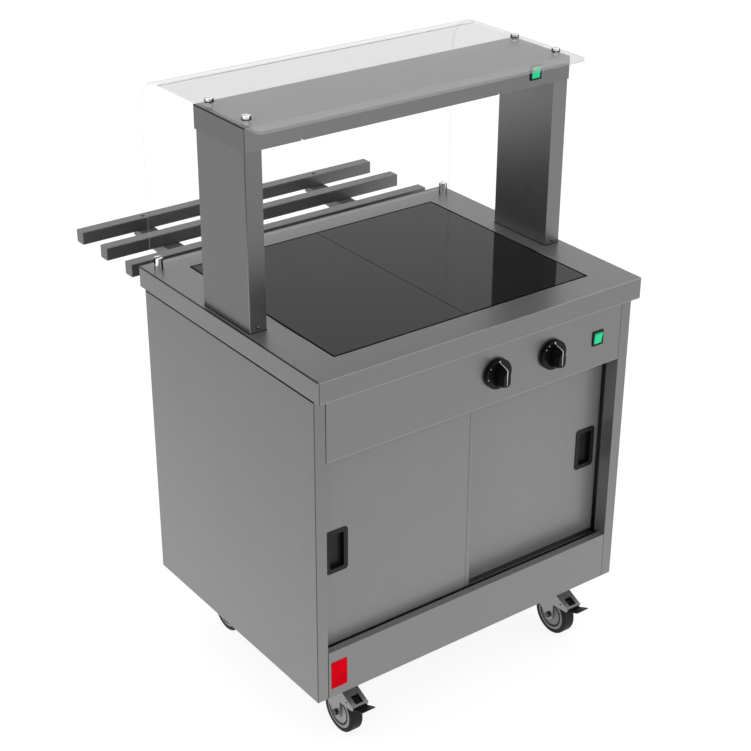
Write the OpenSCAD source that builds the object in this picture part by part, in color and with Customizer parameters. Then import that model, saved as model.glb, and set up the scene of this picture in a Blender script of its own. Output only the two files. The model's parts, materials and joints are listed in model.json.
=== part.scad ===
// Mobile hot cupboard with a ceramic hot top, heated gantry, glass screen and tray slide.
// X runs to the right, Y runs from the operator's side to the customer's side, Z is up.
// The floor is at Z 0, and Y 0 is in the middle of the whole counter.

/* [Worktop] */
// Width of the worktop
top_w = 825; // [800:1:1000]
// Depth of the worktop from front to back
top_d = 675; // [660:1:760]
// Height of the worktop's surface above the floor
top_h = 900; // [850:1:950]
// Height of the worktop's folded edge
edge_h = 46; // [40:1:60]
// Thickness of the worktop's sheet
top_t = 2; // [1.5:0.1:3]
// Width of the lip under the folded edge
lip_w = 14; // [8:1:18]
// Radius of the worktop's corners
top_r = 3; // [1:0.5:8]

/* [Hot plates] */
// Width of the cut-out for the hot plates
cut_w = 657; // [560:1:690]
// Depth of the cut-out for the hot plates
cut_d = 537; // [440:1:550]
// Distance from the worktop's front edge to the cut-out
cut_y = 73; // [60:1:90]
// Thickness of the ceramic
ceramic_t = 4; // [3:0.5:6]
// Gap between the ceramic and what surrounds it
ceramic_gap = 1.5; // [1:0.1:3]
// Width of the ledge that carries the ceramic
ledge_w = 10; // [6:1:16]
// Thickness of the seal under the ceramic
seal_t = 2; // [1:0.5:3]

/* [Cabinet] */
// How far the side panels stand in from the worktop's ends
side_inset = 3; // [2:0.5:8]
// How far the fascia stands in from the worktop's front
front_inset = 23; // [20:1:30]
// How far the back panel stands in from the worktop's back
back_inset = 18; // [14:1:24]
// Thickness of the cabinet's sheet
sheet_t = 1.5; // [1:0.1:2]
// Width of the strips beside the doors
strip_w = 26; // [20:1:34]
// Depth of the strips' inner return
strip_d = 33; // [28:1:36]
// Height of the plinth panel
plinth_h = 113; // [100:1:130]
// Height of the control fascia
fascia_h = 144; // [130:1:160]
// Depth of the ledges on the plinth and the fascia
ledge_d = 16.5; // [12:0.5:18]
// Gap at the ends of the plinth and the fascia
panel_gap = 1; // [0.5:0.1:2]

/* [Doors] */
// Thickness of a door
door_t = 12; // [10:0.5:14]
// Distance from the face of the fascia to the face of the front door
door_set = 26; // [25:0.5:28]
// Space between the front door and the rear door
door_space = 4; // [3:0.5:6]
// Overlap of the closed doors
door_overlap = 12; // [6:1:30]
// Gap between a closed door and the strip beside it
door_side_gap = 3.5; // [1:0.5:8]
// Thickness of the tracks' sheet
rib_t = 1.2; // [0.8:0.1:1.6]
// Height of the tracks' ribs
rib_h = 12; // [8:1:14]

/* [Door pulls] */
// Width of a pull
pull_w = 54; // [46:1:64]
// Height of a pull
pull_h = 100; // [80:1:130]
// Distance from a door's outer edge to the middle of its pull
pull_in = 38; // [36:1:60]
// Width of the pull's flat rim
pull_rim = 10; // [7:0.5:14]
// How far the rim stands proud of the door
pull_proud = 1.5; // [1:0.1:2]
// Corner radius of a pull
pull_r = 8; // [4:0.5:12]

/* [Controls] */
// Distance from the fascia's right end to the right knob
knob_in = 195.5; // [185:0.5:230]
// Distance between the knobs
knob_pitch = 149; // [120:1:200]
// Radius of a knob's skirt
knob_r = 33; // [25:0.5:36]
// Thickness of a knob's skirt
skirt_t = 9; // [6:0.5:12]
// How far a knob stands out from the fascia
knob_reach = 34; // [28:0.5:40]
// Width of the knob's grip
grip_w = 19; // [14:0.5:24]
// Distance from the fascia's right end to its switch
switch_in = 66; // [50:0.5:90]
// Width of a switch's frame
switch_w = 29; // [28:0.5:34]
// Height of a switch's frame
switch_h = 33; // [32:0.5:38]
// Width of a green rocker
rocker_w = 21; // [14:0.5:21.5]
// Height of a green rocker
rocker_h = 25; // [18:0.5:25.5]

/* [Gantry] */
// Distance from the worktop's end to the header's end
gantry_inset = 9.5; // [6:0.5:20]
// Width of an upright
upright_w = 38.5; // [30:0.5:50]
// Depth of an upright
upright_d = 171.5; // [140:0.5:200]
// Height of an upright
upright_h = 371.5; // [320:0.5:450]
// Distance from the worktop's front edge to an upright
upright_y = 251; // [220:1:270]
// Height of the header
header_h = 48.5; // [40:0.5:60]
// How far the header stands out in front of the uprights
header_front = 3; // [0:0.5:6]
// How far the header stands out behind the uprights
header_back = 5.5; // [0:0.5:8]
// How far the header stands out at the sides of the uprights
header_side = 1; // [0:0.5:3]

/* [Glass screen] */
// Thickness of the glass
glass_t = 6; // [4:0.5:8]
// Distance from the worktop's front edge to the front of the glass
glass_y = 194; // [150:1:210]
// Distance from the worktop's back edge to the back of the glass
glass_in = 35; // [25:1:75]
// Outer radius of the bend
glass_r = 75; // [50:1:110]
// Radius of the two front corners
glass_corner = 11; // [4:1:20]
// Height of the glass above the header
glass_lift = 2; // [1:0.5:4]
// Height of the glass's lower edge above the worktop
glass_low = 12; // [8:1:20]
// Diameter of a peg
peg_dia = 19; // [16:0.5:24]
// Height of a peg
peg_h = 26; // [22:1:34]
// Diameter of a standoff's head
head_dia = 18; // [16:0.5:24]
// Height of a standoff's head
head_h = 8; // [5:0.5:10]
// Diameter of a standoff's neck
neck_dia = 12; // [8:0.5:14]

/* [Tray slide] */
// Width and height of a rail
rail_size = 30; // [25:1:35]
// Distance between one rail and the next
rail_pitch = 112.8; // [90:0.1:125]
// Distance from the worktop's back edge to the inner rail
rail_gap = 51; // [40:1:65]
// Height of the rails' tops below the worktop's surface
rail_drop = 18; // [16:1:24]
// Distance from the worktop's end to a rail's end
rail_inset = 10.5; // [0:0.5:40]
// Distance from a rail's end to the middle of the bracket beside it
bracket_in = 162; // [100:1:220]
// Width of a bracket
bracket_w = 43; // [34:1:50]
// Depth of a bracket at the cabinet
bracket_deep = 44; // [34:1:60]
// Depth of a bracket at its outer end
bracket_tip = 14; // [8:1:20]

/* [Castors] */
// Overall height of a castor
castor_h = 150; // [145:1:160]
// Radius of a wheel
wheel_r = 50; // [40:0.5:51]
// Width of a tyre
tyre_w = 30; // [26:0.5:31]
// Radius of the wheel's rim
rim_r = 40; // [30:0.5:40]
// Distance between the swivel axis and the axle
trail = 29.5; // [28:0.5:34]
// Distance from the cabinet's end to a swivel axis
castor_in = 107; // [95:1:130]
// Distance from the cabinet's front or back to a swivel axis
castor_set = 89.5; // [80:0.5:110]
// Space between the fork's legs
fork_gap = 35; // [34:0.5:38]
// Thickness of the fork's plate
fork_t = 3; // [2:0.1:4]

/* [Hidden] */

$fn = 48;
// How far a cutter runs past what it cuts
over = 1;
// Clearance between two pieces that seat on each other
seat = 0.3;
// Radial clearance of a pin that turns in its bore
run = 0.05;

// Heights and depths that the pieces share
under_z = top_h - edge_h;
cab_half = top_w / 2 - side_inset;
cab_front = front_inset;
cab_back = top_d - back_inset;
open_half = cab_half - strip_w;
plinth_z = castor_h + plinth_h;
fascia_z = under_z - fascia_h;
knob_front = cab_front - knob_reach;
rail_z = top_h - rail_drop - rail_size;
rail_y = top_d + rail_gap;
rail_end = rail_y + 2 * rail_pitch + rail_size;
swivel_front = cab_front + castor_set;
swivel_rear = cab_back - castor_set;
swivel_x = cab_half - castor_in;

// Height of the lips turned behind the plinth and the fascia
panel_lip = 10;

// Back panel: vent slots, gland of the supply cord
vent = [60, 5];
vent_pitch = 14;
vent_rows = 6;
vent_in = 179.5;
gland_r = 12;
gland_h = 14;
gland_bore = 5;
gland_in = [80, 60];

// Chassis base
base_t = 2;
base_up = 24;

// Worktop underside
ledge_t = 1.5;
ceramic_z = top_h - ceramic_t;
ledge_z = ceramic_z - seal_t - ledge_t;
bar_w = 2 * ledge_w + ceramic_gap;
mat_t = 3;
mat_in = 24;
terminal = [40, 24, 12];

// Door tracks and doors
door_y = [cab_front + door_set, cab_front + door_set + door_t + door_space];
door_end = door_y[1] + door_t;
rib_gap = 0.8;
rib_y = [door_y[0] - rib_gap - rib_t, door_y[1] - door_space / 2 - rib_t / 2,
    door_end + rib_gap];
track_back = rib_y[2] + rib_t;
track_lap = 6;
track_up = 2;
door_room = 4;
low_track_z = plinth_z - rib_h - rib_t;
door_bottom = low_track_z + rib_t + seat;
door_top = fascia_z + track_up + track_lap;
high_track_z = door_top + door_room;
door_half = open_half - door_side_gap;
door_w = door_half + door_overlap / 2;
hem_w = 10;
hem_groove = [1.2, 0.6];
skin_t = 1.2;

// Pulls
pull_drop = 3;
pull_z = (plinth_z + fascia_z) / 2 - pull_drop;
pull_floor = 1.5;
pull_screw = 3;
pull_slot = 0.8;

// Cupboard
liner_t = 1.2;
liner_in = 47;
liner_back = cab_back - liner_in;
inner_half = open_half + liner_t;
floor_z = plinth_z;
ceiling_up = 4;
ceiling_z = fascia_z + ceiling_up;
shelf_z = floor_z + (ceiling_z - floor_z) / 2;
shelf_t = 1.2;
shelf_lip = 20;
shelf_gap = 3;
angle_w = 16;
angle_h = 20;
slot_size = [70, 7];
slot_count = [5, 8];
slot_in = [60, 60];
element_r = 4;
element_bend = 34;
element_runs = 6;
element_in = 143.5;
element_half = open_half - element_in;

// Controls
knob_drop = 4;
knob_z = fascia_z + fascia_h / 2 - knob_drop;
knob_x = [open_half - knob_in - knob_pitch, open_half - knob_in];
switch_x = open_half - switch_in;
knob_lift = 0.5;
bush_r = 5;
spindle_r = 3;
stat_size = [46, 46, 30];
spindle_deep = 20;
skirt_round = 1.5;
grip_long_share = 0.79;
grip_front_share = 0.56;
grip_neck_share = 0.62;
grip_point_share = 0.8;
dot_r = 2.2;
dot_deep = 0.5;
frame_t = 2.5;
switch_deep = 24;
frame_lap = 1.5;
rocker_play = 0.5;
rocker_tilt = 9;
rocker_peak = 1.2;
rocker_deep = 3;
rocker_room = 6;
gantry_switch_z_share = 0.62;
gantry_switch_in = 94.2;
gantry_switch_h = 31.5;

// Gantry and glass
upright_half = top_w / 2 - gantry_inset - header_side;
header_half = top_w / 2 - gantry_inset;
header_z = top_h + upright_h;
header_top = header_z + header_h;
header_y = [upright_y - header_front, upright_y + upright_d + header_back];
header_lip = 16;
glass_z = header_top + glass_lift;
glass_top = glass_z + glass_t;
glass_back = top_d - glass_in;
peg_y = glass_back - glass_t / 2;
peg_in = 18.5;
peg_x = header_half - peg_in;
standoff_in = 20.5;
standoff_set = [19.5, 20.5];
standoff_y = [upright_y + standoff_set[0], upright_y + upright_d - standoff_set[1]];
neck_play = 0.5;
glass_play = 0.3;
slot_w = 2;
slot_deep = 2;
reflector_t = 1;
reflector_deep = 26;
reflector_set = [30, 8];
reflector_end = 20;
reflector_y = [header_y[0] + reflector_set[0], header_y[1] - reflector_set[1]];
reflector_z = header_z + sheet_t + seat;
reflector_half = upright_half - upright_w - reflector_end;
holder = [18, 24, 20];
holder_end = 4.5;
lamp_r = 5;
lamp_up = 2;
lamp_gap = 60;
lamp_len = reflector_half - lamp_gap / 2 - holder[0] / 2 - holder_end;
lamp_x = (lamp_len + lamp_gap) / 2;
lamp_y = (reflector_y[0] + reflector_y[1]) / 2;
lamp_z = reflector_z + reflector_deep - reflector_t - holder[2] + lamp_r + lamp_up;
notch = [6, 3];
notch_in = [130, 190];
notch_x = [notch_in[0] - header_half, header_half - notch_in[1]];

// Places of the two switches: X, Y of the face, Z and the height of the frame
switch_places = [[switch_x, cab_front, knob_z, switch_h],
    [header_half - gantry_switch_in, header_y[0], header_z + header_h * gantry_switch_z_share,
        gantry_switch_h]];

// Tray slide, screws and badge
rail_round = 2;
rail_wall = 1.5;
bracket_t = 2;
flange_h = 60;
screw_r = 4.2;
screw_h = 2.2;
screw_up = 9.5;
screw_out = 19;
rail_screw_in = 15;
bracket_x = top_w / 2 - rail_inset - bracket_in;
badge = [39, 65, 1];
badge_in = [34, 21];

// Castors
plate_size = [92, 76];
plate_t = 3;
plate_round = 8;
bolt_pitch = [74, 56];
bolt_r = 4.2;
race_r = 25;
race_h = 8;
cup_r = 24;
pin_r = 6;
rivet_r = 10;
rivet_h = 3;
rivet_room = 2;
cup_h = 6.5;
fork_top = castor_h - plate_t - race_h - 2 * seat - cup_h;
fork_back = 27;
hood_bend = rivet_r + rivet_room;
hood_front = 90.5;
hood_low = 93.5;
hood_lip = 3;
leg_front = [20, 35];
leg_step = 33;
leg_back_share = 0.7;
axle_r = 4;
boss_r = 13;
hub_r = 10;
hub_side = 0.6;
guard_r = 28;
groove_w = 3.5;
groove_deep = 5;
rim_in = 1;
disc_sink = 0.5;
tread_round = 4;
nut_r = 7.5;
nut_t = 5;
window = [20, 21];
window_x = 1;
window_y = 4.5;
pedal_w = 33;
pedal_t = 3;
pedal_pin_r = 2.5;
pedal_heel = 2;
pedal_pin = [-67, 98];
pedal_knee = [-91, 89];
pedal_tip = [-119.5, 102];

y_min = min(knob_front, swivel_front + pedal_tip[0], 0);
y_mid = (y_min + rail_end) / 2;

// Box between two opposite corners
module block(low, high) {
    translate(low) cube(high - low);
}

// The same shape on the right and on the left
module both_sides() {
    children();
    mirror([1, 0, 0]) children();
}

// Moves the whole counter so that its middle is at Y 0
module placed() {
    translate([0, -y_mid, 0]) children();
}

// Rectangle about the origin with round corners
module round_rect(size, r) {
    square([size[0] - 2 * r, size[1]], center = true);
    square([size[0], size[1] - 2 * r], center = true);
    for (x = [-1, 1], y = [-1, 1]) {
        translate([x * (size[0] / 2 - r), y * (size[1] / 2 - r)]) circle(r);
    }
}

// Extrudes a profile drawn in Y and Z over the given range of X
module along_x(x0, x1) {
    translate([x0, 0, 0]) rotate([90, 0, 90]) linear_extrude(x1 - x0) children();
}

// Turns a shape built upwards so that it points to the front
module facing_front() {
    rotate([90, 0, 0]) children();
}

// Worktop: top sheet, folded edge, lip and the ledge for the hot plates
module worktop() {
    color("silver") placed() {
        translate([0, top_d / 2, under_z]) difference() {
            linear_extrude(edge_h) round_rect([top_w, top_d], top_r);
            translate([0, 0, -over]) linear_extrude(edge_h - top_t + over)
                square([top_w - 2 * top_t, top_d - 2 * top_t], center = true);
            translate([0, cut_y + (cut_d - top_d) / 2, 0]) linear_extrude(edge_h + over)
                square([cut_w, cut_d], center = true);
        }
        worktop_lip();
        plate_ledge();
    }
}

module worktop_lip() {
    difference() {
        block([-top_w / 2 + top_t, top_t, under_z],
            [top_w / 2 - top_t, top_d - top_t, under_z + sheet_t]);
        block([-top_w / 2 + top_t + lip_w, top_t + lip_w, under_z - over],
            [top_w / 2 - top_t - lip_w, top_d - top_t - lip_w, under_z + sheet_t + over]);
    }
}

module plate_ledge() {
    x = cut_w / 2;
    difference() {
        block([-x - ledge_t, cut_y - ledge_t, ledge_z],
            [x + ledge_t, cut_y + cut_d + ledge_t, top_h - top_t]);
        block([-x, cut_y, ledge_z + ledge_t], [x, cut_y + cut_d, top_h + over]);
        both_sides() block([bar_w / 2, cut_y + ledge_w, ledge_z - over],
            [x - ledge_w, cut_y + cut_d - ledge_w, top_h]);
    }
}

module ceramic_plates() {
    color("#2b2b2d") placed() both_sides() translate([0, 0, ceramic_z]) linear_extrude(ceramic_t)
        translate([(cut_w - ceramic_gap) / 4, cut_y + cut_d / 2])
            round_rect([cut_w / 2 - 1.5 * ceramic_gap, cut_d - 2 * ceramic_gap], ceramic_gap);
}

// Black seal: a flat bed on the ledge and a thin rib round each plate
module plate_seal() {
    x = cut_w / 2;
    color("#111111") placed() difference() {
        block([-x, cut_y, ledge_z + ledge_t], [x, cut_y + cut_d, top_h - ceramic_gap / 2]);
        both_sides() {
            block([ceramic_gap / 2, cut_y + ceramic_gap, ceramic_z],
                [x - ceramic_gap, cut_y + cut_d - ceramic_gap, top_h]);
            block([bar_w / 2, cut_y + ledge_w, ledge_z],
                [x - ledge_w, cut_y + cut_d - ledge_w, top_h]);
        }
    }
}

// Heater mats bonded to the underside of the ceramic, with their terminal blocks
module heater_mats() {
    color("#b5651d") placed() both_sides() {
        block([mat_in, cut_y + mat_in, ceramic_z - mat_t],
            [cut_w / 2 - mat_in, cut_y + cut_d - mat_in, ceramic_z]);
        translate([cut_w / 4 - terminal[0] / 2, cut_y + cut_d / 2, ceramic_z - mat_t - terminal[2]])
            cube(terminal);
    }
}

// Side panel on the right: outer sheet, front strip with its return, back flange
module side_panel() {
    x = cab_half;
    back = cab_back - sheet_t;
    block([x - sheet_t, cab_front, castor_h], [x, back, under_z]);
    block([open_half, cab_front, castor_h], [x, cab_front + sheet_t, under_z]);
    block([open_half, cab_front, castor_h + base_t], [open_half + sheet_t, cab_front + strip_d, under_z]);
    block([x - lip_w, back - sheet_t, castor_h], [x, back, under_z]);
}

module side_panel_right() {
    color("silver") placed() side_panel();
}

module side_panel_left() {
    color("silver") placed() mirror([1, 0, 0]) side_panel();
}

// Back panel with vent slots and the gland of the supply cord
module back_panel() {
    color("silver") placed() difference() {
        union() {
            block([-cab_half, cab_back - sheet_t, castor_h], [cab_half, cab_back, under_z]);
            translate([cab_half - gland_in[0], cab_back, castor_h + gland_in[1]]) rotate([-90, 0, 0])
                cylinder(r = gland_r, h = gland_h);
        }
        for (side = [-1, 1], row = [0 : vent_rows - 1]) {
            translate([side * (cab_half - vent_in) - vent[0] / 2, cab_back - sheet_t - over,
                castor_h + gland_in[1] + row * vent_pitch])
                cube([vent[0], sheet_t + 2 * over, vent[1]]);
        }
        translate([cab_half - gland_in[0], cab_back - sheet_t - over, castor_h + gland_in[1]])
            rotate([-90, 0, 0]) cylinder(r = gland_bore, h = sheet_t + gland_h + 2 * over);
    }
}

// Base of the chassis: a pan whose edges turn up inside the side panels
module chassis_base() {
    x = cab_half - sheet_t;
    y = [cab_front + sheet_t, cab_back - 2 * sheet_t];
    color("gray") placed() difference() {
        block([-x, y[0], castor_h], [x, y[1], castor_h + base_up]);
        block([-x + base_t, y[0] + base_t, castor_h + base_t],
            [x - base_t, y[1] - base_t, castor_h + base_up + over]);
        both_sides() block([open_half - over, y[0] - over, castor_h + base_t],
            [x + over, cab_front + strip_d + over, castor_h + base_up + over]);
        both_sides() block([x - lip_w, y[1] - base_t - over, castor_h + base_t],
            [x + over, y[1] + over, castor_h + base_up + over]);
    }
}

// Front panel: flat sheet with a ledge along one edge and a short turned lip
module front_panel(z0, z1, ledge_at_top) {
    x = open_half - panel_gap;
    back = cab_front + ledge_d;
    ledge = ledge_at_top ? z1 - sheet_t : z0;
    lip = ledge_at_top ? z1 - panel_lip : z0;
    block([-x, cab_front, z0], [x, cab_front + sheet_t, z1]);
    block([-x, cab_front, ledge], [x, back, ledge + sheet_t]);
    block([-x, back - sheet_t, lip], [x, back, lip + panel_lip]);
}

module plinth_panel() {
    color("silver") placed() front_panel(castor_h, plinth_z, true);
}

module control_fascia() {
    color("silver") placed() difference() {
        union() {
            front_panel(fascia_z, under_z, false);
            block([-open_half + panel_gap, cab_front, under_z - sheet_t],
                [open_half - panel_gap, cab_front + lip_w, under_z]);
        }
        for (x = knob_x) {
            translate([x, cab_front + sheet_t + over, knob_z]) facing_front()
                cylinder(r = bush_r + run, h = sheet_t + 2 * over);
        }
        translate([switch_x, cab_front, knob_z])
            cube([switch_w - 2 * frame_lap, 4 * over, switch_h - 2 * frame_lap], center = true);
    }
}

// Twin door tracks
module door_track_bottom() {
    color("silver") placed() {
        block([-open_half, rib_y[0], low_track_z], [open_half, track_back, low_track_z + rib_t]);
        for (y = rib_y) {
            block([-open_half, y, low_track_z], [open_half, y + rib_t, plinth_z - seat]);
        }
    }
}

module door_track_top() {
    color("silver") placed() {
        block([-open_half + panel_gap, cab_front + sheet_t, high_track_z],
            [open_half - panel_gap, track_back, high_track_z + rib_t]);
        for (y = rib_y) {
            block([-open_half + panel_gap, y, fascia_z + track_up],
                [open_half - panel_gap, y + rib_t, high_track_z]);
        }
    }
}

// Liner of the cupboard: side walls, back wall and the front flanges in one folded sheet
module cupboard_liner() {
    color("gainsboro") placed() {
        both_sides() {
            block([open_half, track_back, castor_h + base_up], [inner_half, liner_back + liner_t, under_z]);
            block([open_half, track_back, castor_h + base_up],
                [cab_half - sheet_t, track_back + liner_t, under_z]);
        }
        block([-inner_half, liner_back, castor_h + base_up], [inner_half, liner_back + liner_t, under_z]);
    }
}

// Rows of air slots in a shelf or floor between two depths
module air_slots(y0, y1, z) {
    dx = (2 * open_half - 2 * slot_in[0] - slot_size[0]) / (slot_count[0] - 1);
    dy = (y1 - y0 - 2 * slot_in[1] - slot_size[1]) / (slot_count[1] - 1);
    for (i = [0 : slot_count[0] - 1], j = [0 : slot_count[1] - 1]) {
        translate([-open_half + slot_in[0] + i * dx, y0 + slot_in[1] + j * dy, z - over])
            cube([slot_size[0], slot_size[1], liner_t + 2 * over]);
    }
}

module cupboard_floor() {
    color("gainsboro") placed() difference() {
        block([-open_half, track_back, floor_z - liner_t], [open_half, liner_back, floor_z]);
        air_slots(track_back, liner_back, floor_z - liner_t);
    }
}

module cupboard_ceiling() {
    color("gainsboro") placed()
        block([-open_half, track_back, ceiling_z], [open_half, liner_back, ceiling_z + liner_t]);
}

// Angle strips that carry the shelf
module shelf_supports() {
    z = shelf_z - shelf_t;
    color("silver") placed() both_sides() {
        block([open_half - angle_w, track_back + shelf_lip, z - liner_t],
            [open_half, liner_back - shelf_lip, z]);
        block([open_half - liner_t, track_back + shelf_lip, z - angle_h],
            [open_half, liner_back - shelf_lip, z]);
    }
}

module cupboard_shelf() {
    x = open_half - shelf_gap;
    y = [track_back + shelf_gap, liner_back - shelf_gap];
    z = shelf_z - shelf_t;
    color("silver") placed() {
        difference() {
            block([-x, y[0], z], [x, y[1], shelf_z]);
            air_slots(y[0], y[1], z);
        }
        block([-x, y[0], z - shelf_lip + shelf_gap], [x, y[0] + shelf_t, shelf_z]);
        block([-x, y[1] - shelf_t, z - shelf_lip + shelf_gap], [x, y[1], shelf_z]);
    }
}

// Sheathed element that runs back and forth under the cupboard's floor
module heating_element() {
    z = floor_z - liner_t - seat - element_r;
    y0 = (track_back + liner_back) / 2 - (element_runs - 1) * element_bend;
    color("#6b5b4b") placed() {
        for (i = [0 : element_runs - 1]) {
            translate([-element_half, y0 + 2 * i * element_bend, z]) rotate([0, 90, 0])
                cylinder(r = element_r, h = 2 * element_half);
        }
        for (i = [0 : element_runs - 2]) {
            side = i % 2 == 0 ? 1 : -1;
            translate([side * element_half, y0 + (2 * i + 1) * element_bend, z])
                rotate([0, 0, -90 * side]) rotate_extrude(angle = 180)
                    translate([element_bend, 0]) circle(element_r);
        }
    }
}

// Thermostats behind the fascia, each with the bush that its spindle turns in
module thermostats() {
    color("#d8d8d0") placed() for (x = knob_x) {
        translate([x, cab_front + sheet_t, knob_z]) difference() {
            union() {
                translate([-stat_size[0] / 2, 0, -stat_size[1] / 2])
                    cube([stat_size[0], stat_size[2], stat_size[1]]);
                facing_front() cylinder(r = bush_r, h = sheet_t);
            }
            translate([0, spindle_deep, 0]) facing_front()
                cylinder(r = spindle_r + run, h = spindle_deep + sheet_t + over);
        }
    }
}

// Knob that points to the front, with its spindle behind it
module knob_at(x) {
    grip = knob_reach - knob_lift - skirt_t;
    color("#1a1a1a") placed() translate([x, cab_front - knob_lift, knob_z]) facing_front() {
        difference() {
            rotate_extrude() knob_profile();
            translate([0, knob_r - 2 * dot_r, skirt_t - dot_deep]) cylinder(r = dot_r, h = over);
        }
        hull() {
            translate([0, 0, skirt_t - dot_deep]) linear_extrude(dot_deep)
                grip_outline(2 * knob_r * grip_long_share, grip_w + skirt_t / 2);
            translate([0, 0, skirt_t + grip * grip_neck_share]) linear_extrude(dot_deep)
                grip_outline(2 * knob_r * (grip_front_share + grip_long_share) / 2, grip_w);
            translate([0, 0, skirt_t + grip - dot_deep]) linear_extrude(dot_deep)
                grip_outline(2 * knob_r * grip_front_share, grip_w - skirt_round);
        }
        translate([0, 0, -spindle_deep]) cylinder(r = spindle_r, h = spindle_deep + skirt_t);
    }
}

module knob_profile() {
    r = knob_r - skirt_round;
    square([r, skirt_t]);
    square([knob_r, skirt_t - skirt_round]);
    translate([r, skirt_t - skirt_round]) circle(skirt_round);
}

// Outline of the grip: square at the foot and pointed at the top
module grip_outline(length, width) {
    half = length / 2;
    polygon([[-width / 2, -half + width / 4], [-width / 4, -half], [width / 4, -half],
        [width / 2, -half + width / 4], [width / 2, half - width * grip_point_share], [0, half],
        [-width / 2, half - width * grip_point_share]]);
}

module control_knob_left() {
    knob_at(knob_x[0]);
}

module control_knob_right() {
    knob_at(knob_x[1]);
}

// Housing of a rocker switch: frame in front of the panel, box behind it
module switch_body(h) {
    box = [switch_w - 2 * frame_lap, h - 2 * frame_lap];
    difference() {
        union() {
            translate([-switch_w / 2, -frame_t, -h / 2]) cube([switch_w, frame_t, h]);
            translate([-box[0] / 2, 0, -box[1] / 2]) cube([box[0], switch_deep, box[1]]);
        }
        translate([-rocker_w / 2 - rocker_play, -frame_t - over, -rocker_h / 2 - rocker_play])
            cube([rocker_w + 2 * rocker_play, over + frame_t + rocker_room, rocker_h + 2 * rocker_play]);
    }
}

module switch_bodies() {
    color("#151515") placed() for (p = switch_places) {
        translate([p[0], p[1], p[2]]) switch_body(p[3]);
    }
}

// Green rocker, tilted about its pivot in the plane of the panel
module rocker(p) {
    half = rocker_h / 2;
    color("#2fbf71") placed() translate([p[0], p[1], p[2]]) rotate([rocker_tilt, 0, 0])
        along_x(-rocker_w / 2, rocker_w / 2) intersection() {
            circle(half);
            polygon([[rocker_deep, -half], [rocker_deep, half], [-frame_t - rocker_peak, half],
                [-frame_t, 0], [-frame_t - rocker_peak, -half]]);
        }
}

module fascia_rocker() {
    rocker(switch_places[0]);
}

module gantry_rocker() {
    rocker(switch_places[1]);
}

// Upright on the right: folded column, open at both ends for the wires
module upright() {
    x = [upright_half - upright_w, upright_half];
    y = [upright_y, upright_y + upright_d];
    difference() {
        block([x[0], y[0], top_h], [x[1], y[1], header_z]);
        block([x[0] + sheet_t, y[0] + sheet_t, top_h - over],
            [x[1] - sheet_t, y[1] - sheet_t, header_z + over]);
    }
}

module gantry_upright_right() {
    color("silver") placed() upright();
}

module gantry_upright_left() {
    color("silver") placed() mirror([1, 0, 0]) upright();
}

// Header: folded box that is open below between the uprights
module gantry_header() {
    x = header_half;
    y = header_y;
    inner_x = upright_half - upright_w;
    color("silver") placed() difference() {
        block([-x, y[0], header_z], [x, y[1], header_top]);
        block([-x + sheet_t, y[0] + sheet_t, header_z + sheet_t],
            [x - sheet_t, y[1] - sheet_t, header_top - sheet_t]);
        block([-inner_x, y[0] + header_lip, header_z - over],
            [inner_x, y[1] - header_lip, header_z + 2 * sheet_t]);
        for (nx = notch_x) {
            translate([nx, y[0], header_z])
                cube([notch[0], 2 * header_lip, 2 * notch[1]], center = true);
        }
        translate([switch_places[1][0], y[0], switch_places[1][2]])
            cube([switch_w - 2 * frame_lap, 4 * over, gantry_switch_h - 2 * frame_lap], center = true);
    }
}

// Reflector: bright trough above the lamps
module lamp_reflector() {
    y = reflector_y;
    slope = (y[1] - y[0]) / 4;
    top = reflector_z + reflector_deep;
    color("gainsboro") placed() along_x(-reflector_half, reflector_half) {
        difference() {
            polygon([[y[0], reflector_z], [y[0] + slope, top], [y[1] - slope, top], [y[1], reflector_z]]);
            polygon([[y[0] + reflector_t, reflector_z - over], [y[0] + reflector_t, reflector_z],
                [y[0] + slope + reflector_t, top - reflector_t],
                [y[1] - slope - reflector_t, top - reflector_t],
                [y[1] - reflector_t, reflector_z], [y[1] - reflector_t, reflector_z - over]]);
        }
    }
}

// Two quartz lamps in line, each between two holders
module heat_lamps() {
    color("white") placed() for (side = [-1, 1]) {
        translate([side * lamp_x - lamp_len / 2, lamp_y, lamp_z]) rotate([0, 90, 0])
            cylinder(r = lamp_r, h = lamp_len);
    }
}

module lamp_holders() {
    top = reflector_z + reflector_deep - reflector_t;
    color("ivory") placed() for (side = [-1, 1], end = [-1, 1]) {
        translate([side * lamp_x + end * lamp_len / 2, lamp_y, top - holder[2]]) difference() {
            translate([-holder[0] / 2, -holder[1] / 2, 0]) cube(holder);
            translate([-end * (holder[0] / 2 + over) - (end > 0 ? 0 : holder[0] / 2 + over), 0,
                lamp_z - top + holder[2]])
                rotate([0, 90, 0]) cylinder(r = lamp_r + run, h = holder[0] / 2 + over);
        }
    }
}

// Bent glass: flat top, one bend, and a back that drops into the pegs
module glass_profile() {
    bend = [glass_back - glass_r, glass_top - glass_r];
    translate([glass_y, glass_z]) square([bend[0] - glass_y, glass_t]);
    translate([glass_back - glass_t, top_h + glass_low]) square([glass_t, bend[1] - top_h - glass_low]);
    translate(bend) intersection() {
        difference() {
            circle(glass_r, $fn = 96);
            circle(glass_r - glass_t, $fn = 96);
        }
        square(glass_r);
    }
}

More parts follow.
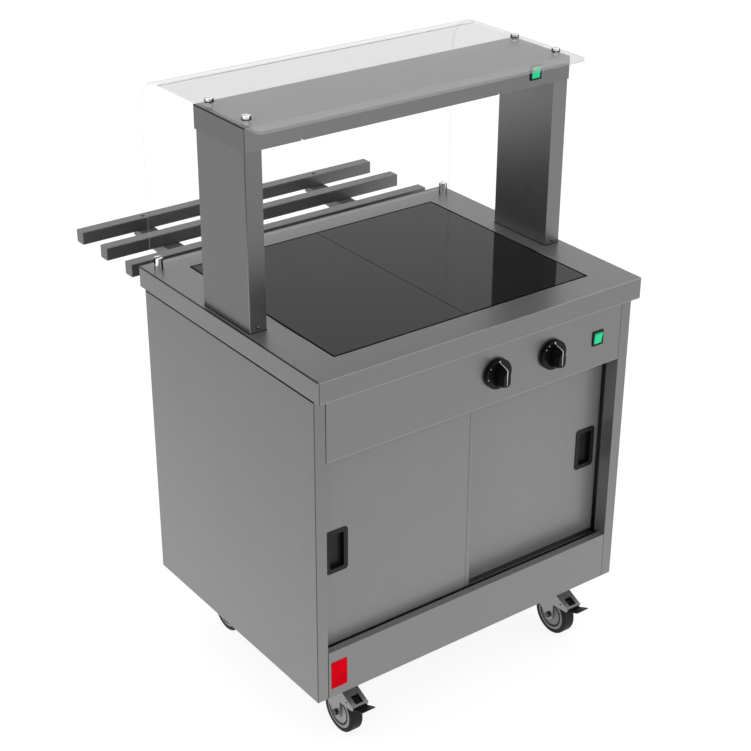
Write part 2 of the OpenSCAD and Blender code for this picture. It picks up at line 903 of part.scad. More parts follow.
module glass_screen() {
    color("#cfe8e4", 0.4) placed() difference() {
        along_x(-header_half, header_half) glass_profile();
        both_sides() {
            for (y = standoff_y) {
                translate([header_half - standoff_in, y, glass_z - over])
                    cylinder(r = neck_dia / 2 + neck_play, h = glass_t + 2 * over);
            }
            translate([header_half - glass_corner, glass_y + glass_corner, glass_z - over]) difference() {
                translate([0, -glass_corner - over, 0])
                    cube([glass_corner + over, glass_corner + over, glass_t + 2 * over]);
                translate([0, 0, -over]) cylinder(r = glass_corner, h = glass_t + 4 * over);
            }
        }
    }
}

// Slotted standoffs that hold the glass down on the header
module standoff() {
    difference() {
        union() {
            cylinder(r = head_dia / 2, h = glass_lift);
            cylinder(r = neck_dia / 2, h = glass_lift + glass_t + glass_play + over);
            translate([0, 0, glass_lift + glass_t + glass_play]) rotate_extrude() {
                square([head_dia / 2 - skirt_round, head_h]);
                square([head_dia / 2, head_h - skirt_round]);
                translate([head_dia / 2 - skirt_round, head_h - skirt_round]) circle(skirt_round);
            }
        }
        translate([-head_dia, -slot_w / 2, glass_lift + glass_t + glass_play + head_h - slot_deep])
            cube([2 * head_dia, slot_w, slot_deep + over]);
    }
}

module glass_standoffs() {
    color("#e0e0e0") placed() both_sides() for (y = standoff_y) {
        translate([header_half - standoff_in, y, header_top]) standoff();
    }
}

// Slotted pegs that the glass stands in
module glass_pegs() {
    color("#e0e0e0") placed() both_sides() translate([peg_x, peg_y, top_h]) difference() {
        cylinder(r = peg_dia / 2, h = peg_h);
        translate([-peg_dia, -glass_t / 2 - glass_play, glass_low])
            cube([2 * peg_dia, glass_t + 2 * glass_play, peg_h]);
    }
}

// Square tubes with a cap in each end
module tray_rails() {
    x = top_w / 2 - rail_inset;
    bore = rail_size - 2 * rail_wall;
    color("silver") placed() for (i = [0 : 2]) {
        translate([0, rail_y + i * rail_pitch + rail_size / 2, rail_z + rail_size / 2]) {
            along_x(-x, x) difference() {
                round_rect([rail_size, rail_size], rail_round);
                square(bore, center = true);
            }
            both_sides() along_x(x - 2 * rail_wall, x) square(bore - 2 * run, center = true);
        }
    }
}

// Bracket: pressed channel that tapers to its outer end, with a flange on the cabinet
module tray_bracket() {
    y = [cab_back, rail_end - rail_screw_in / 2];
    half = bracket_w / 2;
    translate([bracket_x, 0, 0]) difference() {
        union() {
            along_x(-half, half) polygon([[y[0], rail_z - bracket_deep], [y[0], rail_z], [y[1], rail_z],
                [y[1], rail_z - bracket_tip]]);
            block([-half - bracket_tip, y[0], rail_z - flange_h],
                [half + bracket_tip, y[0] + bracket_t, rail_z]);
        }
        along_x(-half + bracket_t, half - bracket_t) polygon([
            [y[0] + bracket_t, rail_z - bracket_deep - bracket_tip], [y[0] + bracket_t, rail_z - bracket_t],
            [y[1] - bracket_t, rail_z - bracket_t], [y[1] - bracket_t, rail_z - bracket_deep - bracket_tip]]);
    }
}

module tray_brackets() {
    color("silver") placed() both_sides() tray_bracket();
}

module badge_plate() {
    color("red") placed() translate([-cab_half + badge_in[0], cab_front - badge[2], castor_h + badge_in[1]])
        cube([badge[0], badge[2], badge[1]]);
}

// Dome-headed screws at the foot of the uprights and on the outer rail
module screw_head() {
    rotate_extrude() intersection() {
        translate([0, screw_h - 2 * screw_r]) circle(2 * screw_r);
        square([screw_r, screw_h]);
    }
}

module fixing_screws() {
    color("#c8c8c8") placed() both_sides() {
        translate([upright_half - screw_out, upright_y, top_h + screw_up]) facing_front() screw_head();
        translate([bracket_x, rail_end - rail_screw_in, rail_z + rail_size]) screw_head();
    }
}

// Door on the left: folded pan with a hole for its pull, and an inner skin that closes it.
// The front door has a hem along its free edge.
module door(y, front) {
    outer = -door_half;
    inner = outer + door_w;
    fold = skin_t + run;
    block([outer + fold, y + door_t - skin_t, door_bottom + fold],
        [inner - fold, y + door_t, door_top - fold]);
    difference() {
        block([outer, y, door_bottom], [inner, y + door_t, door_top]);
        block([outer + skin_t, y + skin_t, door_bottom + skin_t],
            [inner - skin_t, y + door_t + over, door_top - skin_t]);
        translate([outer + pull_in, y + door_t + over, pull_z]) facing_front()
            linear_extrude(door_t + 2 * over) pull_hole(0);
        if (front) {
            block([inner - hem_w - hem_groove[0], y - over, door_bottom - over],
                [inner - hem_w, y + hem_groove[1], door_top + over]);
        }
    }
}

module pull_hole(shrink) {
    round_rect([pull_w - pull_rim - 2 * shrink, pull_h - pull_rim - 2 * shrink], pull_r - pull_rim / 2);
}

// Pull: flat rim in front of the door and a cup that fills the hole
module pull(y) {
    pocket = [pull_w - 2 * pull_rim, pull_h - 2 * pull_rim];
    deep = door_t - skin_t - seat;
    translate([-door_half + pull_in, y + deep, pull_z]) facing_front() {
        difference() {
            union() {
                linear_extrude(deep) pull_hole(run);
                translate([0, 0, deep]) linear_extrude(pull_proud) round_rect([pull_w, pull_h], pull_r);
            }
            translate([0, 0, pull_floor]) linear_extrude(deep + pull_proud)
                round_rect(pocket, pull_r / 2);
        }
        translate([0, 2 * pull_screw - pocket[1] / 2, 0])
            cylinder(r = pull_screw, h = pull_floor + pull_slot);
    }
}

module door_left() {
    color("silver") placed() door(door_y[0], true);
}

module door_right() {
    color("silver") placed() mirror([1, 0, 0]) door(door_y[1], false);
}

module door_pull_left() {
    color("#161616") placed() pull(door_y[0]);
}

module door_pull_right() {
    color("#161616") placed() mirror([1, 0, 0]) pull(door_y[1]);
}

// Castor pieces, drawn about the swivel axis with the wheel towards the front
module at_castor(side, rear) {
    placed() translate([side * swivel_x, rear ? swivel_rear : swivel_front, 0]) children();
}

module castor_plate() {
    difference() {
        translate([0, 0, castor_h - plate_t]) linear_extrude(plate_t) round_rect(plate_size, plate_round);
        for (x = [-1, 1], y = [-1, 1]) {
            translate([x * bolt_pitch[0] / 2, y * bolt_pitch[1] / 2, castor_h - plate_t - over])
                cylinder(r = bolt_r, h = plate_t + 2 * over);
        }
    }
    translate([0, 0, castor_h - plate_t - race_h]) cylinder(r = race_r, h = race_h);
    translate([0, 0, fork_top - fork_t - seat - rivet_h])
        cylinder(r = pin_r, h = castor_h - fork_top + fork_t);
    translate([0, 0, fork_top - fork_t - seat - rivet_h]) cylinder(r = rivet_r, h = rivet_h);
}

module castor_plates() {
    color("#c0c0c0") for (side = [-1, 1], rear = [false, true]) {
        at_castor(side, rear) castor_plate();
    }
}

// Fork: top plate, sloping hood with a window, and two legs down to the axle
module castor_fork(side, rear) {
    half = fork_gap / 2 + fork_t;
    hood_z = hood_low + fork_t;
    color("#b8b8b8") at_castor(side, rear) difference() {
        union() {
            along_x(-half, half) polygon([[fork_back, fork_top - fork_t], [fork_back, fork_top],
                [-hood_bend, fork_top], [-hood_front, hood_z], [-hood_front, hood_low],
                [-hood_bend, fork_top - fork_t]]);
            both_sides() along_x(fork_gap / 2, half) fork_leg();
            translate([0, 0, fork_top - over]) cylinder(r = cup_r, h = over + cup_h + seat);
        }
        translate([0, 0, fork_top - fork_t - over])
            cylinder(r = pin_r + run, h = castor_h);
        translate([-half - over, -trail, wheel_r]) rotate([0, 90, 0])
            cylinder(r = axle_r + run, h = 2 * half + 2 * over);
        if (!rear) {
            translate([window_x - window[0] / 2, -hood_front + window_y, hood_low - hood_lip])
                cube([window[0], window[1], castor_h - hood_low]);
            translate([-half - over, pedal_pin[0], pedal_pin[1]]) rotate([0, 90, 0])
                cylinder(r = pedal_pin_r + run, h = 2 * half + 2 * over);
        }
    }
}

// Outline of a leg in Y and Z
module fork_leg() {
    translate([-trail, wheel_r]) circle(boss_r);
    polygon([[fork_back, fork_top - fork_t], [-hood_bend, fork_top - fork_t], [-hood_front, hood_low],
        [-hood_front + hood_lip, hood_low - 2 * hood_lip],
        [-trail - boss_r - leg_front[0], wheel_r + leg_front[1]],
        [-trail - boss_r, wheel_r + leg_step], [-trail - boss_r, wheel_r],
        [-trail + boss_r * leg_back_share, wheel_r - boss_r * leg_back_share],
        [0, wheel_r + boss_r], [fork_back, fork_top - 3 * boss_r]]);
}

// Axle: bolt through both legs, with its head on one side and its nut on the other
module castor_axle(side, rear) {
    half = fork_gap / 2 + fork_t;
    color("#9a9a9a") at_castor(side, rear) translate([0, -trail, wheel_r]) rotate([0, 90, 0]) {
        translate([0, 0, -half - nut_t]) cylinder(r = axle_r, h = 2 * half + 2 * nut_t + over);
        translate([0, 0, -half - nut_t]) cylinder(r = nut_r, h = nut_t, $fn = 6);
        translate([0, 0, half]) cylinder(r = nut_r, h = nut_t, $fn = 6);
    }
}

// Wheel: hub, thread guards, groove and rim
module castor_wheel(side, rear) {
    hub = fork_gap / 2 - hub_side;
    rim = tyre_w / 2 - rim_in;
    color("#cfcfcf") at_castor(side, rear) translate([0, -trail, wheel_r]) rotate([0, 90, 0]) rotate_extrude()
        difference() {
            union() {
                translate([0, -hub]) square([hub_r, 2 * hub]);
                translate([0, -rim]) square([rim_r, 2 * rim]);
            }
            square([2 * axle_r + 2 * run, 2 * fork_gap], center = true);
            for (face = [-1, 1]) {
                translate([guard_r + groove_w / 2, face * rim])
                    square([groove_w, 2 * groove_deep], center = true);
                translate([(hub_r + guard_r) / 2, face * rim])
                    square([guard_r - hub_r, 2 * disc_sink], center = true);
            }
        }
}

module castor_tyre(side, rear) {
    color("#151515") at_castor(side, rear) translate([0, -trail, wheel_r]) rotate([0, 90, 0])
        rotate_extrude($fn = 96) difference() {
            translate([0, -tyre_w / 2]) union() {
                square([wheel_r - tread_round, tyre_w]);
                translate([0, tread_round]) square([wheel_r, tyre_w - 2 * tread_round]);
                for (z = [tread_round, tyre_w - tread_round]) {
                    translate([wheel_r - tread_round, z]) circle(tread_round);
                }
            }
            square([2 * rim_r, 2 * tyre_w], center = true);
        }
}

// Brake pedal: boss on its pin, arm under the hood, tread plate and brake shoe
module brake_pedal(side) {
    half = fork_gap / 2;
    boss = pedal_pin_r + pedal_t / 2;
    color("#141414") at_castor(side, false) {
        along_x(-half + hub_side, half - hub_side) {
            translate(pedal_pin) circle(boss);
            polygon([[pedal_pin[0], pedal_pin[1] + boss], [pedal_pin[0] - pedal_heel, pedal_pin[1] - boss],
                pedal_knee - [0, pedal_t / 2], pedal_knee + [0, pedal_t / 2]]);
        }
        along_x(-pedal_w / 2, pedal_w / 2)
            polygon([pedal_knee - [0, pedal_t / 2], pedal_knee + [0, pedal_t / 2],
                pedal_tip + [0, pedal_t / 2], pedal_tip - [0, pedal_t / 2]]);
        translate([-half - fork_t, pedal_pin[0], pedal_pin[1]]) rotate([0, 90, 0])
            cylinder(r = pedal_pin_r, h = 2 * half + 2 * fork_t);
    }
}

worktop();
ceramic_plates();
plate_seal();
heater_mats();
side_panel_left();
side_panel_right();
back_panel();
chassis_base();
plinth_panel();
control_fascia();
door_track_top();
door_track_bottom();
cupboard_liner();
cupboard_floor();
cupboard_ceiling();
shelf_supports();
cupboard_shelf();
heating_element();
thermostats();
switch_bodies();
fascia_rocker();
gantry_rocker();
control_knob_left();
control_knob_right();
gantry_upright_left();
gantry_upright_right();
gantry_header();
lamp_reflector();
heat_lamps();
lamp_holders();
glass_screen();
glass_standoffs();
glass_pegs();
tray_rails();
tray_brackets();
badge_plate();
fixing_screws();
door_left();
door_right();
door_pull_left();
door_pull_right();
castor_plates();
castor_fork(-1, false);  // castor_fork_front_left
castor_fork(1, false);  // castor_fork_front_right
castor_fork(-1, true);  // castor_fork_rear_left
castor_fork(1, true);  // castor_fork_rear_right
castor_axle(-1, false);  // castor_axle_front_left
castor_axle(1, false);  // castor_axle_front_right
castor_axle(-1, true);  // castor_axle_rear_left
castor_axle(1, true);  // castor_axle_rear_right
castor_wheel(-1, false);  // castor_wheel_front_left
castor_wheel(1, false);  // castor_wheel_front_right
castor_wheel(-1, true);  // castor_wheel_rear_left
castor_wheel(1, true);  // castor_wheel_rear_right
castor_tyre(-1, false);  // castor_tyre_front_left
castor_tyre(1, false);  // castor_tyre_front_right
castor_tyre(-1, true);  // castor_tyre_rear_left
castor_tyre(1, true);  // castor_tyre_rear_right
brake_pedal(-1);  // brake_pedal_left
brake_pedal(1);  // brake_pedal_right
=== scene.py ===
"""Looks of a mobile hot cupboard servery counter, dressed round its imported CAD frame."""

import json
import logging
import math
from dataclasses import dataclass
from enum import Enum

import bpy
import numpy as np
from mathutils import Matrix, Vector


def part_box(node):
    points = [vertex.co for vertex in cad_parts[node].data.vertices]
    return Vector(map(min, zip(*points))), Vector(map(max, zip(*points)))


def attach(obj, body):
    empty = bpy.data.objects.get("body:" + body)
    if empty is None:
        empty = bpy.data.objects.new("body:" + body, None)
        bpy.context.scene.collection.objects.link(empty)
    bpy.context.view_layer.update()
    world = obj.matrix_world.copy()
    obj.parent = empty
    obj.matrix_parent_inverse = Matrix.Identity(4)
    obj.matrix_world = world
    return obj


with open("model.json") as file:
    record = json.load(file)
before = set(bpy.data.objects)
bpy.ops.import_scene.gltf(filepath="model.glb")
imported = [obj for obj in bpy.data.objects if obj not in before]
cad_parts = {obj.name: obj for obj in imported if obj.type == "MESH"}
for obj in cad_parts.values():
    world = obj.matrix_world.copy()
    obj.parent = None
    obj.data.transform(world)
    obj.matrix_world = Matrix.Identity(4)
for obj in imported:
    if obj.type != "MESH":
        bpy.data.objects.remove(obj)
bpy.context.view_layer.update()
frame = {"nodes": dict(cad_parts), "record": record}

LOG = logging.getLogger("servery_counter")
MM = 0.001

Colour = tuple[float, float, float]
Mesh = tuple[np.ndarray, list]
Node = bpy.types.Node
Socket = bpy.types.NodeSocket
Outputs = bpy.types.bpy_prop_collection
Material = bpy.types.Material

LEFT, RIGHT = (-1.0, 0.0, 0.0), (1.0, 0.0, 0.0)
FRONT, BACK = (0.0, -1.0, 0.0), (0.0, 1.0, 0.0)
UP, DOWN = (0.0, 0.0, 1.0), (0.0, 0.0, -1.0)
CORNERS = ("front_left", "front_right", "rear_left", "rear_right")

NOISE_MIDDLE = (0.35, 0.65)
WIDE_NOISE_MIDDLE = (0.3, 0.7)
SKIN_DEPTH = 0.00005
BAR_POINTS = 8


class Grain(Enum):
    """Direction in which a sheet was brushed: the scale of its pattern along X, Y and Z."""

    X = (0.02, 1.0, 1.0)
    Y = (1.0, 0.02, 1.0)
    Z = (1.0, 1.0, 0.02)


def grey(lightness: float) -> Colour:
    """A colour without a hue.

    Args:
        lightness: Value of each of its channels.

    Returns:
        The colour.
    """
    return lightness, lightness, lightness


def scaled(colour: Colour, share: float) -> Colour:
    """A lighter or darker colour.

    Args:
        colour: The colour.
        share: What its channels are multiplied by.

    Returns:
        The new colour, with no channel over one.
    """
    return tuple(min(1.0, channel * share) for channel in colour)


class Graph:
    """Node tree of a material or a group, with short calls to add and join nodes."""

    def __init__(self, tree: bpy.types.NodeTree) -> None:
        """Wraps a node tree.

        Args:
            tree: The tree that the nodes go into.
        """
        self.tree = tree

    def feed(self, node: Node, values: dict) -> None:
        """Fills or joins inputs of a node.

        Args:
            node: The node.
            values: Input name or index to a constant or to the socket that feeds it.
        """
        for key, value in values.items():
            if isinstance(value, Socket):
                self.tree.links.new(value, node.inputs[key])
            else:
                node.inputs[key].default_value = value

    def add(self, kind: str, values: dict | None = None, **settings: object) -> Node:
        """Adds a node, sets its properties and fills or joins its inputs.

        Args:
            kind: Node type without the ShaderNode prefix.
            values: Input name or index to a constant or to the socket that feeds it.
            **settings: Properties of the node.

        Returns:
            The new node.
        """
        prefix = "" if kind.startswith("Node") else "ShaderNode"
        node = self.tree.nodes.new(prefix + kind)
        for key, value in settings.items():
            setattr(node, key, value)
        self.feed(node, values or {})
        return node

    def maths(self, operation: str, a: object, b: object = 0.0) -> Socket:
        """One Math node.

        Args:
            operation: Name of the operation.
            a: First value or socket.
            b: Second value or socket.

        Returns:
            The result's socket.
        """
        return self.add("Math", {0: a, 1: b}, operation=operation).outputs[0]

    def remap(self, value: object, low: float, high: float,
              to_low: float = 0.0, to_high: float = 1.0) -> Socket:
        """Maps a range of values to another, held at its ends.

        Args:
            value: Socket to map.
            low: Value that becomes to_low.
            high: Value that becomes to_high.
            to_low: Result at low.
            to_high: Result at high.

        Returns:
            The result's socket.
        """
        sockets = {"Value": value, "From Min": low, "From Max": high, "To Min": to_low, "To Max": to_high}
        return self.add("MapRange", sockets).outputs["Result"]

    def mix(self, share: object, a: object, b: object) -> Socket:
        """Mixes two colours.

        Args:
            share: Share of the second colour.
            a: First colour or socket.
            b: Second colour or socket.

        Returns:
            The mixed colour's socket.
        """
        a, b = (value if isinstance(value, Socket) else (*value, 1.0) for value in (a, b))
        return self.add("Mix", {0: share, 6: a, 7: b}, data_type="RGBA").outputs[2]

    def noise(self, vector: Socket, scale: object, **values: float) -> Socket:
        """One Noise Texture node.

        Args:
            vector: Where the noise is read.
            scale: How fine it is.
            **values: Its other inputs.

        Returns:
            The noise's socket, from 0 to 1.
        """
        return self.add("TexNoise", {"Vector": vector, "Scale": scale, **values}).outputs["Fac"]

    def bump(self, height: Socket, strength: float, depth: float) -> Socket:
        """One Bump node.

        Args:
            height: Socket with the height.
            strength: Strength of the bump.
            depth: Depth in metres.

        Returns:
            The normal's socket.
        """
        return self.add("Bump", {"Height": height, "Strength": strength, "Distance": depth}).outputs["Normal"]


class GroupLibrary:
    """Shader node groups that several finishes share, each built once."""

    WIPE_FINENESS = 9.0
    SPREAD_CUT = 0.4
    FULL_MARK = 0.45

    def __init__(self) -> None:
        """Builds every group."""
        self.brushed = self._brushed()
        self.moulded = self._moulded()
        self.handled = self._handled()

    @staticmethod
    def _start(name: str, inputs: dict[str, float], outputs: tuple[str, ...]) -> tuple[Graph, Outputs, Node]:
        """Makes an empty group with a Vector input, named number inputs and number outputs.

        Args:
            name: Name of the group.
            inputs: Number inputs and their defaults.
            outputs: Names of the number outputs.

        Returns:
            The graph, what its input node gives, and its output node.
        """
        tree = bpy.data.node_groups.new(name, "ShaderNodeTree")
        tree.interface.new_socket("Vector", in_out="INPUT", socket_type="NodeSocketVector")
        for key, value in inputs.items():
            socket = tree.interface.new_socket(key, in_out="INPUT", socket_type="NodeSocketFloat")
            socket.default_value = value
        for key in outputs:
            tree.interface.new_socket(key, in_out="OUTPUT", socket_type="NodeSocketFloat")
        graph = Graph(tree)
        return graph, graph.add("NodeGroupInput").outputs, graph.add("NodeGroupOutput")

    def _brushed(self) -> bpy.types.NodeTree:
        """Brushed sheet: long fine scratches over slow bands. The vector is already stretched.

        Returns:
            The group.
        """
        graph, given, end = self._start("brushed_grain", {"Scale": 2600.0, "Band": 9.0}, ("Scratch", "Cloud"))
        scratch = graph.noise(given["Vector"], given["Scale"], Detail=3.0, Roughness=0.7)
        cloud = graph.noise(given["Vector"], given["Band"], Detail=2.0)
        graph.feed(end, {"Scratch": scratch, "Cloud": cloud})
        return graph.tree

    def _moulded(self) -> bpy.types.NodeTree:
        """Moulded surface: fine pebbles and a slow change of gloss.

        Returns:
            The group.
        """
        graph, given, end = self._start("moulded_skin", {"Scale": 1800.0, "Patch": 30.0}, ("Pebble", "Patch"))
        cells = graph.add("TexVoronoi", {"Vector": given["Vector"], "Scale": given["Scale"]})
        patch = graph.noise(given["Vector"], given["Patch"], Detail=3.0)
        graph.feed(end, {"Pebble": cells.outputs["Distance"], "Patch": patch})
        return graph.tree

    def _handled(self) -> bpy.types.NodeTree:
        """Marks of handling: soft smudges with sparse small wipes in them.

        Returns:
            The group.
        """
        graph, given, end = self._start("handling_marks", {"Scale": 6.0, "Spread": 0.5}, ("Mask",))
        large = graph.noise(given["Vector"], given["Scale"], Detail=4.0, Roughness=0.6, Distortion=0.4)
        finer = graph.maths("MULTIPLY", given["Scale"], self.WIPE_FINENESS)
        small = graph.noise(given["Vector"], finer, Detail=2.0)
        low = graph.maths("MULTIPLY", given["Spread"], self.SPREAD_CUT)
        both = graph.maths("MULTIPLY", large, small)
        graph.feed(end, {"Mask": graph.remap(both, low, self.FULL_MARK)})
        return graph.tree

    def skin(self, graph: Graph, place: Outputs, scale: float) -> Outputs:
        """Places the moulded skin in a material.

        Args:
            graph: The material's graph.
            place: What its texture coordinate node gives.
            scale: How fine the pebbles are.

        Returns:
            The group's outputs Pebble and Patch.
        """
        sockets = {"Vector": place["Object"], "Scale": scale}
        return graph.add("Group", sockets, node_tree=self.moulded).outputs

    def marks(self, graph: Graph, place: Outputs, scale: float = 6.0) -> Socket:
        """Places the marks of handling in a material.

        Args:
            graph: The material's graph.
            place: What its texture coordinate node gives.
            scale: How fine the marks are.

        Returns:
            The mask's socket.
        """
        sockets = {"Vector": place["Object"], "Scale": scale}
        return graph.add("Group", sockets, node_tree=self.handled).outputs["Mask"]


class Finish:
    """Base of every finish: makes a material and feeds its shader."""

    def build(self, name: str, groups: GroupLibrary) -> Material:
        """Makes the material.

        Args:
            name: Name of the material.
            groups: The shared node groups.

        Returns:
            The material.
        """
        material = bpy.data.materials.new(name)
        material.use_nodes = True
        graph = Graph(material.node_tree)
        place = graph.add("TexCoord").outputs
        graph.feed(material.node_tree.nodes["Principled BSDF"], self.inputs(graph, place, groups))
        return material

    def inputs(self, graph: Graph, place: Outputs, groups: GroupLibrary) -> dict:
        """Says what feeds the shader. Every finish has its own.

        Args:
            graph: The material's graph.
            place: What its texture coordinate node gives.
            groups: The shared node groups.

        Returns:
            The shader's inputs, each with a constant or a socket.
        """
        raise NotImplementedError


@dataclass(frozen=True)
class BrushedSteel(Finish):
    """Satin sheet steel with a brushed grain, faint marks of handling and painted shade, lighter near the
    pale floor.
    """

    ROUGH_SPREAD = (-0.04, 0.05)
    BAND_DARK = 0.8
    SMUDGE = 0.05
    BUMP = 0.12

    colour: Colour = grey(0.252)
    rough: float = 0.34
    metal: float = 1.0
    grain: Grain = Grain.X
    scratch: float = 0.06
    depth: float = 0.00001
    painted_shade: tuple[float, float] = (0.0, 0.2)
    shade_heights: tuple[float, float] = (0.2, 0.95)

    def inputs(self, graph: Graph, place: Outputs, groups: GroupLibrary) -> dict:
        """Scratches, bands and marks, under painted shade that darkens it from one height to another (see
        Finish.inputs).
        """
        stretch = graph.add("Mapping", {"Vector": place["Object"], "Scale": self.grain.value})
        grain = graph.add("Group", {"Vector": stretch.outputs[0]}, node_tree=groups.brushed).outputs
        line = graph.remap(grain["Scratch"], *NOISE_MIDDLE)
        dark, light = scaled(self.colour, 1.0 - self.scratch), scaled(self.colour, 1.0 + self.scratch)
        base = graph.mix(line, dark, light)
        cloud = graph.remap(grain["Cloud"], *WIDE_NOISE_MIDDLE, 0.0, self.scratch * 2.0)
        base = graph.mix(cloud, base, scaled(self.colour, self.BAND_DARK))
        # Painted shade: the colour is mixed towards black between the two shade_heights.
        height = graph.add("SeparateXYZ", {0: place["Object"]}).outputs["Z"]
        base = graph.mix(graph.remap(height, *self.shade_heights, *self.painted_shade), base, grey(0.0))
        rough = graph.remap(line, 0.0, 1.0, *(self.rough + spread for spread in self.ROUGH_SPREAD))
        smudge = graph.maths("MULTIPLY", groups.marks(graph, place), self.SMUDGE)
        return {
            "Base Color": base,
            "Roughness": graph.maths("ADD", rough, smudge),
            "Metallic": self.metal,
            "Normal": graph.bump(line, self.BUMP, self.depth),
        }


@dataclass(frozen=True)
class Chrome(Finish):
    """Bright plated metal with painted reflections: an upright dark band on its left and on its right."""

    MARK_SCALE = 60.0
    MARK_SHARE = 0.3
    MARK_GREY = 0.5
    SMUDGE = 0.1

    bright: Colour = (0.86, 0.86, 0.87)
    dark: Colour = grey(0.02)
    rough: float = 0.1
    reflection_ways: tuple[Colour, ...] = ((-0.8, 0.6, 0.0), (0.8, -0.6, 0.0))
    edge: tuple[float, float] = (0.6, 0.75)

    def inputs(self, graph: Graph, place: Outputs, groups: GroupLibrary) -> dict:
        """Painted reflection: dark bands where the surface faces one of the reflection_ways (see
        Finish.inputs).
        """
        # Painted reflection: the colour darkens where the normal turns towards either of the reflection_ways.
        turns = [graph.add("VectorMath", {0: place["Normal"], 1: way}, operation="DOT_PRODUCT")
                 for way in self.reflection_ways]
        reflection_facing = graph.maths("MAXIMUM", *(turn.outputs["Value"] for turn in turns))
        band = graph.remap(reflection_facing, *self.edge)
        marks = groups.marks(graph, place, self.MARK_SCALE)
        bright = graph.mix(graph.maths("MULTIPLY", marks, self.MARK_SHARE), self.bright, grey(self.MARK_GREY))
        return {
            "Base Color": graph.mix(band, bright, self.dark),
            "Roughness": graph.remap(marks, 0.0, 1.0, self.rough, self.rough + self.SMUDGE),
            "Metallic": 1.0,
        }


@dataclass(frozen=True)
class Moulded(Finish):
    """Moulded plastic or rubber with a fine pebbled skin."""

    COLOUR_SPREAD = (0.85, 1.15)
    ROUGH_SPREAD = (-0.04, 0.06)

    colour: Colour = grey(0.02)
    rough: float = 0.45
    pebble: float = 0.2
    scale: float = 1800.0
    specular: float = 0.5

    def inputs(self, graph: Graph, place: Outputs, groups: GroupLibrary) -> dict:
        """Pebbles, and patches that change the colour and the gloss a little (see Finish.inputs)."""
        skin = groups.skin(graph, place, self.scale)
        patch = graph.remap(skin["Patch"], *NOISE_MIDDLE)
        return {
            "Base Color": graph.mix(patch, *(scaled(self.colour, share) for share in self.COLOUR_SPREAD)),
            "Roughness": graph.remap(patch, 0.0, 1.0, *(self.rough + spread for spread in self.ROUGH_SPREAD)),
            "Specular IOR Level": self.specular,
            "Normal": graph.bump(skin["Pebble"], self.pebble, SKIN_DEPTH),
        }


@dataclass(frozen=True)
class HotCeramic(Finish):
    """Polished black glass ceramic with fine speckles and a film of wiping marks."""

    SPECK_SCALE = 900.0
    SPECK_SIZE = 0.12
    SPECK_SHARE = 0.6
    SMUDGE = 0.05
    WAVES = 0.02

    colour: Colour = grey(0.004)
    speck: Colour = grey(0.012)
    rough: float = 0.05
    specular: float = 0.17

    def inputs(self, graph: Graph, place: Outputs, groups: GroupLibrary) -> dict:
        """A speckle at the middle of each cell of the skin, and wiping marks (see Finish.inputs)."""
        skin = groups.skin(graph, place, self.SPECK_SCALE)
        dots = graph.remap(skin["Pebble"], 0.0, self.SPECK_SIZE, self.SPECK_SHARE, 0.0)
        marks = groups.marks(graph, place)
        return {
            "Base Color": graph.mix(dots, self.colour, self.speck),
            "Roughness": graph.remap(marks, 0.0, 1.0, self.rough, self.rough + self.SMUDGE),
            "Specular IOR Level": self.specular,
            "Normal": graph.bump(skin["Patch"], self.WAVES, SKIN_DEPTH),
        }


@dataclass(frozen=True)
class ClearGlass(Finish):
    """Clear toughened glass with faint smudges, showing more where seen aslant, and with painted reflection
    where level.
    """

    MARK_SCALE = 4.0
    SMUDGE = 0.05
    FILM = 0.015
    SLANTED = (0.8, 1.0)
    LEVEL_NORMAL = (0.985, 0.997)
    END_NORMAL = (0.5, 0.9)
    IOR = 1.5

    colour: Colour = (0.62, 0.63, 0.63)
    rough: float = 0.03
    clear: float = 0.012
    level: float = 0.31
    rim: float = 0.3
    ends: float = 0.12

    def inputs(self, graph: Graph, place: Outputs, groups: GroupLibrary) -> dict:
        """Alpha that grows with the slant and, as painted reflection, on level faces; cut at the ends (see
        Finish.inputs).
        """
        marks = groups.marks(graph, place, self.MARK_SCALE)
        facing = graph.add("LayerWeight", {"Blend": 0.5}).outputs["Facing"]
        slant = graph.remap(facing, *self.SLANTED, self.clear, self.rim)
        turn = graph.add("SeparateXYZ", {0: place["Normal"]}).outputs
        # Painted reflection: level faces get more alpha, so the glass's grey shows there.
        level_reflection = graph.remap(graph.maths("ABSOLUTE", turn["Z"]), *self.LEVEL_NORMAL, 0.0, self.level)
        ends = graph.remap(graph.maths("ABSOLUTE", turn["X"]), *self.END_NORMAL, 1.0, self.ends)
        film = graph.maths("MULTIPLY", marks, self.FILM)
        alpha = graph.maths("ADD", graph.maths("ADD", slant, level_reflection), film)
        return {
            "Base Color": (*self.colour, 1.0),
            "Roughness": graph.remap(marks, 0.0, 1.0, self.rough, self.rough + self.SMUDGE),
            "IOR": self.IOR,
            "Alpha": graph.maths("MULTIPLY", alpha, ends),
        }


@dataclass(frozen=True)
class PaintedGlowPlastic(Finish):
    """Tinted translucent plastic of a rocker, with a painted glow: it emits light in its own colour."""

    SKIN_SCALE = 700.0
    COLOUR_SPREAD = (0.8, 1.2)

    colour: Colour = (0.006, 0.66, 0.29)
    glow: float = 0.28
    specular: float = 0.2
    rough: tuple[float, float] = (0.2, 0.3)

    def inputs(self, graph: Graph, place: Outputs, groups: GroupLibrary) -> dict:
        """Patches of colour that also glow as painted light (see Finish.inputs)."""
        skin = groups.skin(graph, place, self.SKIN_SCALE)
        patch = graph.remap(skin["Patch"], *WIDE_NOISE_MIDDLE)
        base = graph.mix(patch, *(scaled(self.colour, share) for share in self.COLOUR_SPREAD))
        return {
            "Base Color": base,
            # Painted glow: the rocker emits its own colour.
            "Emission Color": base,
            "Emission Strength": self.glow,
            "Specular IOR Level": self.specular,
            "Roughness": graph.remap(patch, 0.0, 1.0, *self.rough),
        }


